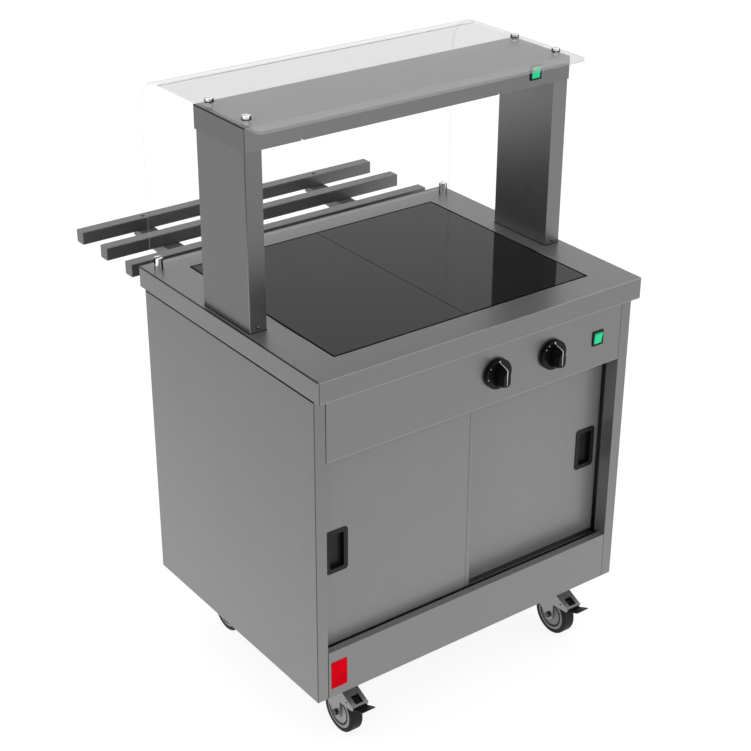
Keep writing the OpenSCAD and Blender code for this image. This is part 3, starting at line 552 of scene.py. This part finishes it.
SLOT_FINISHES: dict[str, Finish] = {
    "stainless": BrushedSteel(),
    "liner_steel": BrushedSteel(grey(0.3), 0.3, scratch=0.08),
    "chassis_steel": BrushedSteel((0.2, 0.205, 0.21), 0.5, scratch=0.15),
    "hot_ceramic": HotCeramic(),
    "black_seal": Moulded(grey(0.003), 0.7, 0.1, specular=0.1),
    "heater_mat": Moulded((0.5, 0.16, 0.06), 0.6, 0.3, 700.0),
    "element_sheath": BrushedSteel((0.12, 0.09, 0.07), 0.5, scratch=0.3),
    "thermostat": Moulded((0.6, 0.6, 0.55), 0.5, 0.1),
    "switch_black": Moulded(grey(0.005), 0.4, 0.15, specular=0.2),
    "rocker_green": PaintedGlowPlastic(),
    "knob_black": Moulded(grey(0.004), 0.3, 0.12, specular=0.16),
    "pull_black": Moulded(grey(0.005), 0.4, 0.2, 1400.0, specular=0.25),
    "reflector": BrushedSteel(grey(0.7), 0.12, scratch=0.04),
    "holder_ceramic": Moulded((0.7, 0.67, 0.58), 0.7, 0.4, 900.0),
    "chromed": Chrome(),
    "zinc_plate": BrushedSteel(grey(0.33), 0.3, metal=0.75, scratch=0.1),
    "wheel_grey": Moulded(grey(0.48), 0.5, 0.1, 900.0, specular=0.3),
    "tyre_black": Moulded(grey(0.008), 0.6, 0.3, 1200.0, specular=0.25),
    "pedal_black": Moulded(grey(0.006), 0.5, 0.2, 1400.0, specular=0.16),
    "badge_red": Moulded((0.9, 0.0, 0.01), 0.6, 0.05, 600.0, specular=0.04),
    "screen_glass": ClearGlass(),
    "lamp_quartz": ClearGlass(grey(0.9), 0.08, 0.4, 0.0, 0.8, 1.0),
}


def sheet(painted_lightness: float = 1.0, grain: Grain = Grain.X, metal: float = 1.0,
          painted_shade: tuple[float, float] = (0.0, 0.2)) -> BrushedSteel:
    """Stainless sheet steel, with painted lightness and painted shade.

    Args:
        painted_lightness: Lightness against the fascia, painted in for the light and shade on its part.
        grain: Direction of the grain.
        metal: How metallic it looks.
        painted_shade: Painted shade, how much darker it is near the floor and at the worktop's height.

    Returns:
        The finish.
    """
    return BrushedSteel(scaled(BrushedSteel.colour, painted_lightness), grain=grain, metal=metal, painted_shade=painted_shade)


# Each node's copy of the one stainless has its own painted lightness, painted shade and metal: lit and shaded
# copies.
NODE_FINISHES: dict[str, Finish] = {
    "side_panel_left": sheet(1.03, Grain.Z, painted_shade=(0.0, 0.3)),
    "side_panel_right": sheet(1.02, Grain.Z, 0.5),
    "back_panel": sheet(grain=Grain.Z),
    "worktop": sheet(1.01, metal=0.6),
    "plinth_panel": sheet(1.06, metal=0.5),
    "door_left": sheet(1.12, Grain.Z, 0.35),
    "door_right": sheet(1.12, Grain.Z, 0.4),
    "gantry_header": sheet(0.86),
    "gantry_upright_left": sheet(0.77, Grain.Z),
    "gantry_upright_right": sheet(0.95, Grain.Z),
    "tray_rails": sheet(0.74, metal=0.75),
    "tray_brackets": sheet(0.75, Grain.Y, 0.3),
    "fixing_screws": BrushedSteel(grey(0.13), 0.3),
# The castor axles are near-black: partly their own dark steel, partly painted shade round the nut.
} | {f"castor_axle_{corner}": BrushedSteel(grey(0.07), 0.25) for corner in CORNERS}


class Wardrobe:
    """Gives every CAD node its finish and lends finishes to new pieces."""

    def __init__(self) -> None:
        """Builds the shared groups and starts with no materials."""
        self.groups = GroupLibrary()
        self.made: dict[Finish, Material] = {}

    def material(self, name: str, finish: Finish) -> Material:
        """The material of a finish, made at its first use.

        Args:
            name: Name that it has if it is made now.
            finish: The finish.

        Returns:
            The material.
        """
        if finish not in self.made:
            self.made[finish] = finish.build(name, self.groups)
        return self.made[finish]

    def dress_nodes(self) -> None:
        """Assigns a material to every CAD node by its name or its slot in the record."""
        for row in frame["record"]["subparts"]:
            name, slot = row["node"], row["material_slot"]
            if name in NODE_FINISHES:
                material = self.material(f"{slot}_{name}", NODE_FINISHES[name])
            else:
                material = self.material(slot, SLOT_FINISHES[slot])
            mesh = frame["nodes"][name].data
            mesh.materials.clear()
            mesh.materials.append(material)
            LOG.info("dressed %s with %s", name, material.name)


def put(name: str, parts: list[Mesh], material: Material, body: str = "counter",
        smooth: bool = True) -> bpy.types.Object:
    """Makes one piece of several meshes, gives it a finish and lets it ride on a body.

    Args:
        name: Name of the piece.
        parts: Points and faces of each mesh, in metres in the row frame.
        material: Finish of the piece.
        body: CAD body that it rides on.
        smooth: Whether its faces are shaded smooth.

    Returns:
        The piece.
    """
    faces, start = [], 0
    for points, these in parts:
        faces.extend([[number + start for number in face] for face in these])
        start += len(points)
    mesh = bpy.data.meshes.new(name)
    mesh.from_pydata(np.concatenate([points for points, _ in parts]).tolist(), [], faces)
    mesh.polygons.foreach_set("use_smooth", np.full(len(mesh.polygons), smooth))
    mesh.materials.append(material)
    mesh.update()
    piece = bpy.data.objects.new(name, mesh)
    bpy.context.scene.collection.objects.link(piece)
    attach(piece, body)
    LOG.info("built %s with %d faces", name, len(faces))
    return piece


def sweep(path: np.ndarray, side: np.ndarray | Colour, up: np.ndarray | Colour, profile: np.ndarray) -> Mesh:
    """Carries a closed profile along a path: point = path + side times u + up times v.

    Args:
        path: Points of the path, n by 3.
        side: First direction of the profile, one for all or one for each point.
        up: Second direction of the profile, one for all or one for each point.
        profile: Points u and v of the profile, m by 2, counter-clockwise about side cross up.

    Returns:
        The points and the faces, with a cap at each end.
    """
    n, m = len(path), len(profile)
    side, up = (np.broadcast_to(way, path.shape)[:, None, :] for way in (side, up))
    points = path[:, None, :] + side * profile[None, :, :1] + up * profile[None, :, 1:]
    ring, spoke = np.meshgrid(np.arange(n - 1), np.arange(m), indexing="ij")
    after = (spoke + 1) % m
    quads = np.stack([ring * m + spoke, ring * m + after, (ring + 1) * m + after, (ring + 1) * m + spoke], -1)
    caps = [list(range(m - 1, -1, -1)), list(range((n - 1) * m, n * m))]
    return points.reshape(-1, 3), quads.reshape(-1, 4).tolist() + caps


def oval(width: float, height: float, count: int = BAR_POINTS) -> np.ndarray:
    """Profile of an ellipse: u = width / 2 cos t, v = height / 2 sin t.

    Args:
        width: Width of the ellipse.
        height: Height of the ellipse.
        count: Number of points.

    Returns:
        The profile's points.
    """
    t = np.linspace(0.0, 2.0 * math.pi, count, endpoint=False)
    return np.stack([width / 2 * np.cos(t), height / 2 * np.sin(t)], -1)


def hoop(middle: np.ndarray, radius: float, first: Colour, second: Colour,
         section: tuple[float, float], steps: int) -> Mesh:
    """Ring with an oval section: path = middle + radius times (first cos t + second sin t).

    Args:
        middle: Middle of the ring.
        radius: Radius of its middle line.
        first: Direction from the middle at t = 0.
        second: Direction from the middle a quarter turn on.
        section: Width of the section outward and its height along the axis.
        steps: Number of steps round the ring.

    Returns:
        Points and faces of the ring.
    """
    t = np.linspace(0.0, 2.0 * math.pi, steps + 1)[:, None]
    out = np.cos(t) * first + np.sin(t) * second
    return sweep(middle + radius * out, out, np.cross(second, first), oval(*section))


def around(low: tuple[float, float], high: tuple[float, float], z: float,
           section: tuple[float, float], lap: float) -> list[Mesh]:
    """Four level bars with an oval section along the sides of a rectangle.

    Args:
        low: Lowest X and Y of the bars' middle lines.
        high: Highest X and Y of the bars' middle lines.
        z: Height of the middle lines.
        section: Height and width of the bars.
        lap: How far each bar goes past its corners.

    Returns:
        Points and faces of each bar.
    """
    corners = np.array([low, (high[0], low[1]), high, (low[0], high[1]), low])
    bars = []
    for start, end in zip(corners[:-1], corners[1:]):
        path = np.array([[*start, z], [*end, z]])
        way = (path[1] - path[0]) / np.linalg.norm(path[1] - path[0])
        path += np.array([-way, way]) * lap
        bars.append(sweep(path, UP, np.cross(way, UP), oval(*section)))
    return bars


@dataclass
class ControlMarks:
    """White pointer, dot and scale of a knob, printed and inlaid on its front.

    The shares say where the grip's slanted ridge, its neck and its front begin, in radii from the
    axis, and how deep the neck lies. The normals are those of the inlay at its four bends.
    """

    body: str
    node: str
    skirt: float = 9 * MM
    lift: float = 0.5 * MM
    reach: float = 34 * MM
    radius: float = 33 * MM
    turns: tuple[float, ...] = (52.0, 100.0)
    ridge_share: float = 0.79
    neck_share: float = 0.675
    front_share: float = 0.56
    neck_depth_share: float = 0.62
    normals: tuple[Colour, ...] = ((0.0, -0.35, 0.94), (0.0, -0.45, 0.89), (0.0, -0.8, 0.6), FRONT)
    pointer: float = 33 * MM
    line: float = 2.0 * MM
    line_points: int = 12
    sunk: float = 1.0 * MM
    dot: tuple[float, float] = (2.0 * MM, 28.6 * MM)
    dot_points: int = 20
    crown: tuple[tuple[float, float], ...] = ((0.4 * MM, 1.0), (-0.05 * MM, 1.0), (-0.15 * MM, 0.8))
    tick: tuple[float, float] = (27.6 * MM, 31.0 * MM)
    tick_section: tuple[float, float] = (0.24 * MM, 1.7 * MM)

    def centre(self) -> Vector:
        """Point on the knob's axis in the plane of its front.

        Returns:
            The point.
        """
        low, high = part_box(self.node)
        return Vector(((low.x + high.x) / 2, low.y, (low.z + high.z) / 2))

    def grip(self) -> float:
        """Height of the grip over the skirt's face.

        Returns:
            The height.
        """
        return self.reach - self.lift - self.skirt

    def pointer_line(self) -> Mesh:
        """Inlay that runs down the slanted ridge and the front of the grip.

        Returns:
            Points and faces of the inlay.
        """
        c, grip = self.centre(), self.grip()
        z = np.array([self.ridge_share, self.neck_share, self.front_share, self.front_share]) * self.radius
        z[3] -= self.pointer
        y = c.y + np.array([grip, grip * (1 - self.neck_depth_share), 0.0, 0.0])
        path = np.stack([np.full(4, c.x), y, c.z + z], -1)
        return sweep(path, RIGHT, np.array(self.normals), oval(self.line, self.sunk, self.line_points))

    def scale(self) -> list[Mesh]:
        """Short bars on the skirt: each lies on a ray from the axis at its own angle.

        Returns:
            Points and faces of each bar.
        """
        c = self.centre()
        bars = []
        for turn in np.radians(self.turns):
            out = np.array([-math.sin(turn), 0.0, math.cos(turn)])
            across = np.array([math.cos(turn), 0.0, math.sin(turn)])
            path = np.array([c.x, c.y + self.grip(), c.z]) + np.array(self.tick)[:, None] * out
            bars.append(sweep(path, FRONT, across, oval(*self.tick_section)))
        return bars

    def mark_dot(self) -> Mesh:
        """Crowned dot that fills the round recess over the grip: a short round bar with a smaller front.

        Returns:
            Points and faces of the dot.
        """
        c = self.centre()
        width, high = self.dot
        depth, size = np.array(self.crown).T[:, :, None]
        path = np.array([c.x, c.y + self.grip(), c.z + high]) + depth * BACK
        return sweep(path, size * RIGHT, size * UP, oval(2 * width, 2 * width, self.dot_points))

    def build(self, wardrobe: Wardrobe) -> None:
        """Builds the inlay, the dot and the scale.

        Args:
            wardrobe: Finishes of the object.
        """
        white = wardrobe.material("inlay_white", Moulded(grey(0.8), 0.4, 0.05))
        parts = [self.pointer_line(), self.mark_dot(), *self.scale()]
        put(f"{self.node}_marks", parts, white, self.body)


@dataclass
class GlassEdges:
    """Ground edges of the glass as thin grey bands, and painted shade lines at the start and crest of its
    bend.
    """

    node: str = "glass_screen"
    thick: float = 6 * MM
    bend: float = 75 * MM
    proud: float = 0.15 * MM
    corner: float = 11 * MM
    ground_share: float = 0.96
    steps: int = 24
    start_turn: float = -1.7
    start_wide: float = 5.0 * MM
    crest_turn: float = 32.5
    crest_wide: float = 1.4 * MM

    def side_path(self, x: float) -> tuple[np.ndarray, np.ndarray]:
        """Middle line of the glass seen from the side: level, a quarter turn, then down.

        Args:
            x: Place of the edge across the counter.

        Returns:
            The points of the line and the normals of the glass.
        """
        low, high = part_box(self.node)
        half = self.thick / 2
        r = self.bend - half
        t = np.linspace(math.pi / 2, 0.0, self.steps)
        y = np.concatenate([[low.y + self.corner], high.y - self.bend + r * np.cos(t), [high.y - half]])
        z = np.concatenate([[high.z - half], high.z - self.bend + r * np.sin(t), [low.z]])
        normal = np.concatenate([[UP], np.stack([0 * t, np.cos(t), np.sin(t)], -1), [BACK]])
        return np.stack([np.full(len(y), x), y, z], -1), normal

    def bend_line(self, degrees: float, radius: float, wide: float, high: float) -> Mesh:
        """Painted shade line along the bend: y = y0 + r sin a, z = z0 + r cos a.

        Args:
            degrees: Angle of the line round the bend, from its top.
            radius: Radius of the face that it lies on.
            wide: Width of the line round the bend.
            high: Height of the line, half of it in the glass.

        Returns:
            Points and faces of the line.
        """
        low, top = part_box(self.node)
        sine, cosine = math.sin(math.radians(degrees)), math.cos(math.radians(degrees))
        y = top.y - self.bend + radius * sine
        z = top.z - self.bend + radius * cosine
        run = np.array([[low.x, y, z], [top.x, y, z]])
        return sweep(run, (0.0, cosine, -sine), (0.0, sine, cosine), oval(wide, high))

    def build(self, wardrobe: Wardrobe) -> None:
        """Builds a band along the front edge and each side, and the painted shade lines of the bend.

        Args:
            wardrobe: Finishes of the object.
        """
        low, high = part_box(self.node)
        wide, tall = self.thick * self.ground_share, 2 * self.proud
        parts = []
        for x, way in ((low.x, -1), (high.x, 1)):
            path, normal = self.side_path(x)
            parts.append(sweep(path[::-way], (way, 0.0, 0.0), normal[::-way], oval(tall, wide)))
        y, z = low.y, high.z - self.thick / 2
        run = np.array([[low.x + self.corner, y, z], [high.x - self.corner, y, z]])
        parts.append(sweep(run, UP, FRONT, oval(wide, tall)))
        ground = ClearGlass((0.5, 0.52, 0.51), 0.2, 0.08, 0.0, 0.2, 1.0)
        ground = wardrobe.material("ground_glass_edge", ground)
        # Painted shade: dark lines at the bend's start and crest stand for light bent by the glass there.
        start = wardrobe.material("glass_bend_start_painted_shade", ClearGlass(grey(0.1), 0.5, 0.5, 0.0, 0.5))
        crest = wardrobe.material("glass_bend_crest_painted_shade", ClearGlass(grey(0.1), 0.5, 0.2, 0.0, 0.2))
        start_line = self.bend_line(self.start_turn, self.bend - self.thick, self.start_wide, tall)
        crest_line = self.bend_line(self.crest_turn, self.bend, self.crest_wide, self.crest_wide)
        put("glass_edge_bands", parts, ground)
        put("glass_bend_painted_shade", [start_line], start)
        put("glass_crest_painted_shade", [crest_line], crest)


@dataclass
class HeaderTrim:
    """Painted shade skins on the header's ends, and a black washer round each head that holds the glass down.
    """

    proud: float = 0.1 * MM
    edge: float = 0.3 * MM
    head: float = 9.0 * MM
    washer: tuple[float, float] = (1.0 * MM, 2.6 * MM)
    steps: int = 32

    def end_shade_skins(self) -> list[Mesh]:
        """Painted shade skins: a rectangle carried along each end of the header, from its front to its back.

        Returns:
            Points and faces of each plate.
        """
        low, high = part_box("gantry_header")
        tall, proud = (high.z - low.z) / 2 - self.edge, self.proud
        profile = np.array([[-tall, -proud], [tall, -proud], [tall, proud], [-tall, proud]])
        z = low.z + tall + self.edge
        plates = []
        for x, way in ((low.x, -1), (high.x, 1)):
            path = np.array([[x, low.y + self.edge, z], [x, high.y - self.edge, z]])
            plates.append(sweep(path[::way], UP, (way, 0.0, 0.0), profile))
        return plates

    def washers(self) -> list[Mesh]:
        """Black rings on the glass round each head: washers, and partly painted shade at the head's foot.

        Returns:
            Points and faces of each ring.
        """
        low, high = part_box("glass_standoffs")
        _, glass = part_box("glass_screen")
        r, z = self.head, glass.z + self.washer[1] / 2
        return [hoop(np.array([x, y, z]), r, RIGHT, BACK, self.washer, self.steps)
                for x in (low.x + r, high.x - r) for y in (low.y + r, high.y - r)]

    def build(self, wardrobe: Wardrobe) -> None:
        """Builds the shade skins and the washers.

        Args:
            wardrobe: Finishes of the object.
        """
        # Painted shade: the skins are a darker copy of the stainless.
        end_shade = wardrobe.material("header_end_painted_shade_steel", sheet(0.69, Grain.Z))
        rubber = wardrobe.material("washer_black_and_shade", Moulded(grey(0.01), 0.6, 0.1, specular=0.2))
        put("header_end_painted_shade", self.end_shade_skins(), end_shade, smooth=False)
        put("glass_washers_and_shade", self.washers(), rubber)


@dataclass
class PaintedFoldLines:
    """Thin bands of painted highlight and shade on folds, and black joints where sheets meet, partly painted
    shade.

    Each section is a bar's two measures across its length, and a ring's middle line lies at its
    distance from the outer edge of the hot plates, which is less than zero on the plates.
    """

    width: float = 2.4 * MM
    fine: float = 1.4 * MM
    proud: float = 0.12 * MM
    depth: float = 0.3 * MM
    end_gap: float = 3.0 * MM
    round: float = 3.0 * MM
    foot_section: tuple[float, float] = (2.6 * MM, 2.2 * MM)
    foot_lap: float = 0.4 * MM
    end_section: tuple[float, float] = (1.0 * MM, 14.0 * MM)
    panel_gap: float = 0.5 * MM
    panel_section: tuple[float, float] = (1.8 * MM, 0.3 * MM)
    bead: tuple[float, float, float] = (-1.8 * MM, 4.6 * MM, 0.6 * MM)
    rim: tuple[float, float, float] = (1.6 * MM, 2.0 * MM, 0.24 * MM)
    ring_lap_share: float = 0.3

    def band(self, start: tuple, end: tuple, out_a: Colour, out_b: Colour, w: float) -> Mesh:
        """Angle-shaped band round a corner: an L profile carried from one end of the fold to the other.

        Args:
            start: First end of the corner.
            end: Last end of the corner.
            out_a: Outward direction of one sheet.
            out_b: Outward direction of the other sheet.
            w: Width of the band on each sheet.

        Returns:
            Points and faces of the band.
        """
        p, d = self.proud, self.depth
        profile = np.array([[p, p], [-w, p], [-w, -d], [-d, -d], [-d, -w], [p, -w]])
        path = np.array([start, end])
        if np.dot(np.cross(out_a, out_b), path[1] - path[0]) < 0:
            path = path[::-1]
        return sweep(path, out_a, out_b, profile)

    def shadowed(self) -> list[Mesh]:
        """Painted shade on dark corners: left and back of the worktop, left of the gantry's top.

        Returns:
            Points and faces of each band.
        """
        low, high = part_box("worktop")
        head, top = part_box("gantry_header")
        gap, w = self.end_gap, self.width
        return [
            self.band((low.x, low.y + gap, high.z), (low.x, high.y - gap, high.z), LEFT, UP, w),
            self.band((low.x + gap, high.y, high.z), (high.x - gap, high.y, high.z), BACK, UP, w),
            self.band((head.x, head.y, top.z), (head.x, top.y, top.z), LEFT, UP, w),
        ]

    def gantry(self) -> list[Mesh]:
        """Painted shade, darker higher up, on the upright corners at the gantry's front left: header and
        upright.

        Returns:
            Points and faces of each band.
        """
        head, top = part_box("gantry_header")
        foot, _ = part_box("gantry_upright_left")
        return [
            self.band((head.x, head.y, head.z), (head.x, head.y, top.z), LEFT, FRONT, self.fine),
            self.band((foot.x, foot.y, foot.z), (foot.x, foot.y, head.z), LEFT, FRONT, self.fine),
        ]

    def polished(self) -> list[Mesh]:
        """Painted highlights on light corners: front of the worktop, foot of its fold and foot of the fascia.

        Returns:
            Points and faces of each band.
        """
        low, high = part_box("worktop")
        fascia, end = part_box("control_fascia")
        gap, w = self.end_gap, self.fine
        return [
            self.band((low.x + gap, low.y, high.z), (high.x - gap, low.y, high.z), FRONT, UP, w),
            self.band((low.x + gap, low.y, low.z), (high.x - gap, low.y, low.z), FRONT, DOWN, w),
            self.band((fascia.x, fascia.y, fascia.z), (end.x, fascia.y, fascia.z), FRONT, DOWN, w),
        ]

    def rounded(self) -> list[Mesh]:
        """Painted grey shade on upright corners at the front left: the worktop's rounded corner, the side
        panel's fold.

        Returns:
            Points and faces of each band.
        """
        low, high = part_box("worktop")
        side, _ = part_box("side_panel_left")
        inward = self.round * (1.0 - math.sqrt(0.5))
        x, y = low.x + inward, low.y + inward
        path = np.array([[x, y, low.z], [x, y, high.z - self.width]])
        along, back = np.array([[1.0, -1.0, 0.0], [1.0, 1.0, 0.0]]) / math.sqrt(2.0)
        corner = sweep(path, along, back, oval(self.fine, 2 * self.proud))
        return [corner, self.band((side.x, side.y, side.z), (side.x, side.y, low.z), LEFT, FRONT, self.fine)]

    def joints(self) -> list[Mesh]:
        """Black joints, partly painted shade: uprights' feet, under worktop's ends, front panels' left ends.

        Returns:
            Points and faces of each joint.
        """
        # Painted shade: these black strips also stand for the shade in the gaps where the sheets meet.
        parts = []
        for name in ("gantry_upright_left", "gantry_upright_right"):
            low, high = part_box(name)
            parts += around(low.xy, high.xy, low.z, self.foot_section, self.foot_lap)
        top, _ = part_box("worktop")
        for name, way in (("side_panel_left", -1), ("side_panel_right", 1)):
            low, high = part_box(name)
            x = low.x if way < 0 else high.x
            path = np.array([[x, low.y, top.z], [x, high.y, top.z]])[::-way]
            parts.append(sweep(path, (way, 0.0, 0.0), UP, oval(*self.end_section)))
        for name in ("control_fascia", "plinth_panel"):
            low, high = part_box(name)
            x = low.x - self.panel_gap
            path = np.array([[x, low.y, low.z], [x, low.y, high.z]])
            parts.append(sweep(path, RIGHT, BACK, oval(*self.panel_section)))
        return parts

    def ring(self, distance: float, wide: float, tall: float) -> list[Mesh]:
        """Ring round the hot plates.

        Args:
            distance: Distance of its middle line from the plates' outer edge.
            wide: Width of its bars.
            tall: Height of its bars, half of it sunk.

        Returns:
            Points and faces of each bar.
        """
        low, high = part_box("ceramic_plates")
        first, last = (low.x - distance, low.y - distance), (high.x + distance, high.y + distance)
        return around(first, last, high.z, (tall, wide), wide * self.ring_lap_share)

    def build(self, wardrobe: Wardrobe) -> None:
        """Builds the bands, the joints and the rings.

        Args:
            wardrobe: Finishes of the object.
        """
        # Painted shade and painted highlight: the dark, grey, light and fading bands stand for how light
        # falls on the corners.
        dark = wardrobe.material("folded_edge_painted_shade", BrushedSteel(grey(0.02), 0.4))
        middle = wardrobe.material("folded_edge_painted_grey", BrushedSteel(grey(0.11), 0.4))
        light = wardrobe.material("folded_edge_painted_highlight", BrushedSteel(grey(0.36), 0.3))
        joint_shade = wardrobe.material("joint_black_gap_shade", Moulded(grey(0.004), 0.6, 0.1, specular=0.15))
        fading_shade = BrushedSteel(grey(0.34), 0.35, painted_shade=(0.0, 0.78), shade_heights=(0.95, 1.15))
        fading_shade = wardrobe.material("folded_edge_painted_fading", fading_shade)
        black = wardrobe.material("bead_black", Moulded(grey(0.003), 0.7, 0.1, specular=0.0))
        put("folds_painted_shade", self.shadowed(), dark, smooth=False)
        put("folds_painted_highlight", self.polished(), light, smooth=False)
        put("folds_rounded_painted_shade", self.rounded(), middle, smooth=False)
        put("folds_gantry_painted_shade", self.gantry(), fading_shade, smooth=False)
        put("sheet_joints_gap_shade", self.joints(), joint_shade)
        put("plate_bead", self.ring(*self.bead), black)
        # Painted highlight: a light band round the cut-out of the hot plates.
        put("plate_rim_painted_highlight", self.ring(*self.rim), light)


@dataclass
class WheelGrooveShade:
    """Painted shade: dark rings that line the groove on both faces of a wheel."""

    corner: str
    groove: float = 31.5 * MM
    wide: float = 2.8 * MM
    sunk: float = 0.3 * MM
    rim_in: float = 1.0 * MM
    steps: int = 48

    def build(self, wardrobe: Wardrobe) -> None:
        """Builds both rings, turned round the axle.

        Args:
            wardrobe: Finishes of the object.
        """
        low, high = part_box(f"castor_wheel_{self.corner}")
        centre = (low + high) / 2
        deep = self.rim_in + self.sunk
        section = (self.wide, 2 * self.sunk)
        rings = [hoop(np.array([x, centre.y, centre.z]), self.groove, BACK, UP, section, self.steps)
                 for x in (low.x + deep, high.x - deep)]
        dark = wardrobe.material("groove_painted_shade", Moulded(grey(0.006), 0.6, 0.1, specular=0.1))
        put(f"wheel_groove_shade_{self.corner}", rings, dark, f"wheel_{self.corner}")


@dataclass
class Studio:
    """Floor, light and the camera at the photograph's view.

    Each lamp has its place, its width in metres and its power in watts. White is how bright the
    surroundings are for the eye, and fill how bright they are for the light that falls on things.
    The floor reflects the light with its own grey, shows the eye a darker one and adds its glow.
    """

    pixels: int = 751
    focal_px: float = 1659.484
    sensor: float = 36.0
    far: float = 200.0
    place: tuple[float, float, float] = (-1.940975, -2.723354, 2.304109)
    yaw: float = 0.637478
    pitch: float = 0.473050
    roll: float = 0.004049
    white: float = 1.0
    fill: float = 0.7
    floor_half: float = 40.0
    floor_grey: float = 0.8
    floor_rough: float = 0.9
    shade: float = 0.28
    glow: float = 0.86
    aim: tuple[float, float, float] = (0.0, 0.0, 0.7)
    lamps: tuple[tuple[Colour, float, float], ...] = (
        ((-4.0, 0.5, 1.7), 3.0, 12.0),
        ((1.5, -4.5, 1.6), 3.0, 20.0),
        ((0.0, 3.5, 5.0), 3.0, 18.0),
    )

    def camera(self) -> None:
        """Places the camera. It looks along yaw to the right of +Y and pitch below the horizon."""
        data = bpy.data.cameras.new("view")
        data.sensor_width = self.sensor
        data.lens = self.focal_px / self.pixels * self.sensor
        data.clip_end = self.far
        cy, sy, cp, sp = math.cos(self.yaw), math.sin(self.yaw), math.cos(self.pitch), math.sin(self.pitch)
        forward = Vector((sy * cp, cy * cp, -sp))
        right = Vector((cy, -sy, 0.0))
        up = right.cross(forward)
        c, s = math.cos(self.roll), math.sin(self.roll)
        right, up = right * c + up * s, up * c - right * s
        view = Matrix((right, up, -forward)).transposed().to_4x4()
        view.translation = Vector(self.place)
        camera = bpy.data.objects.new("view", data)
        camera.matrix_world = view
        bpy.context.scene.collection.objects.link(camera)
        bpy.context.scene.camera = camera

    def seen(self, graph: Graph) -> Socket:
        """One for camera, glossy and transmission rays, zero for light.

        Args:
            graph: Graph of the material or world.

        Returns:
            The mask's socket.
        """
        rays = graph.add("LightPath").outputs
        first = graph.maths("MAXIMUM", rays["Is Camera Ray"], rays["Is Glossy Ray"])
        return graph.maths("MAXIMUM", first, rays["Is Transmission Ray"])

    def world(self) -> None:
        """White surroundings for the eye and for reflections, softer for the light."""
        world = bpy.data.worlds.new("studio")
        world.use_nodes = True
        graph = Graph(world.node_tree)
        strength = graph.remap(self.seen(graph), 0.0, 1.0, self.fill, self.white)
        back = {"Color": (1.0, 1.0, 1.0, 1.0), "Strength": strength}
        graph.feed(world.node_tree.nodes["Background"], back)
        bpy.context.scene.world = world

    def floor(self) -> None:
        """Pale floor, part of whose white is its own for the eye, so that the counter's shadow stays soft."""
        mesh = bpy.data.meshes.new("floor")
        h = self.floor_half
        mesh.from_pydata([(-h, -h, 0), (h, -h, 0), (h, h, 0), (-h, h, 0)], [], [(0, 1, 2, 3)])
        floor = bpy.data.objects.new("floor", mesh)
        bpy.context.scene.collection.objects.link(floor)
        material = bpy.data.materials.new("floor_white")
        material.use_nodes = True
        graph = Graph(material.node_tree)
        seen = self.seen(graph)
        shade = graph.remap(seen, 0.0, 1.0, self.floor_grey, self.shade)
        graph.feed(material.node_tree.nodes["Principled BSDF"], {
            "Base Color": graph.mix(shade, grey(0.0), grey(1.0)),
            "Roughness": self.floor_rough,
            "Specular IOR Level": 0.0,
            "Emission Color": (1.0, 1.0, 1.0, 1.0),
            "Emission Strength": graph.maths("MULTIPLY", seen, self.glow),
        })
        mesh.materials.append(material)

    def light(self) -> None:
        """Large soft lamps round the counter, each turned to its middle."""
        for number, (place, size, power) in enumerate(self.lamps):
            data = bpy.data.lights.new(f"soft_{number}", "AREA")
            data.shape = "DISK"
            data.size = size
            data.energy = power
            lamp = bpy.data.objects.new(f"soft_{number}", data)
            turn = (Vector(place) - Vector(self.aim)).to_track_quat("Z", "Y").to_matrix().to_4x4()
            lamp.matrix_world = Matrix.Translation(Vector(place)) @ turn
            bpy.context.scene.collection.objects.link(lamp)

    def build(self) -> None:
        """Sets up the whole studio."""
        self.camera()
        self.world()
        self.floor()
        self.light()
        bpy.context.scene.view_settings.view_transform = "Standard"


def main() -> None:
    """Dresses the counter, builds its added pieces and sets up the studio."""
    logging.basicConfig(level=logging.INFO, format="%(name)s: %(message)s")
    Studio().build()
    wardrobe = Wardrobe()
    wardrobe.dress_nodes()
    ControlMarks("knob_left", "control_knob_left").build(wardrobe)
    ControlMarks("knob_right", "control_knob_right", turns=(32.0, 52.0)).build(wardrobe)
    GlassEdges().build(wardrobe)
    HeaderTrim().build(wardrobe)
    PaintedFoldLines().build(wardrobe)
    for corner in CORNERS:
        WheelGrooveShade(corner).build(wardrobe)
    LOG.info("the counter is dressed")


if __name__ == "__main__":
    main()
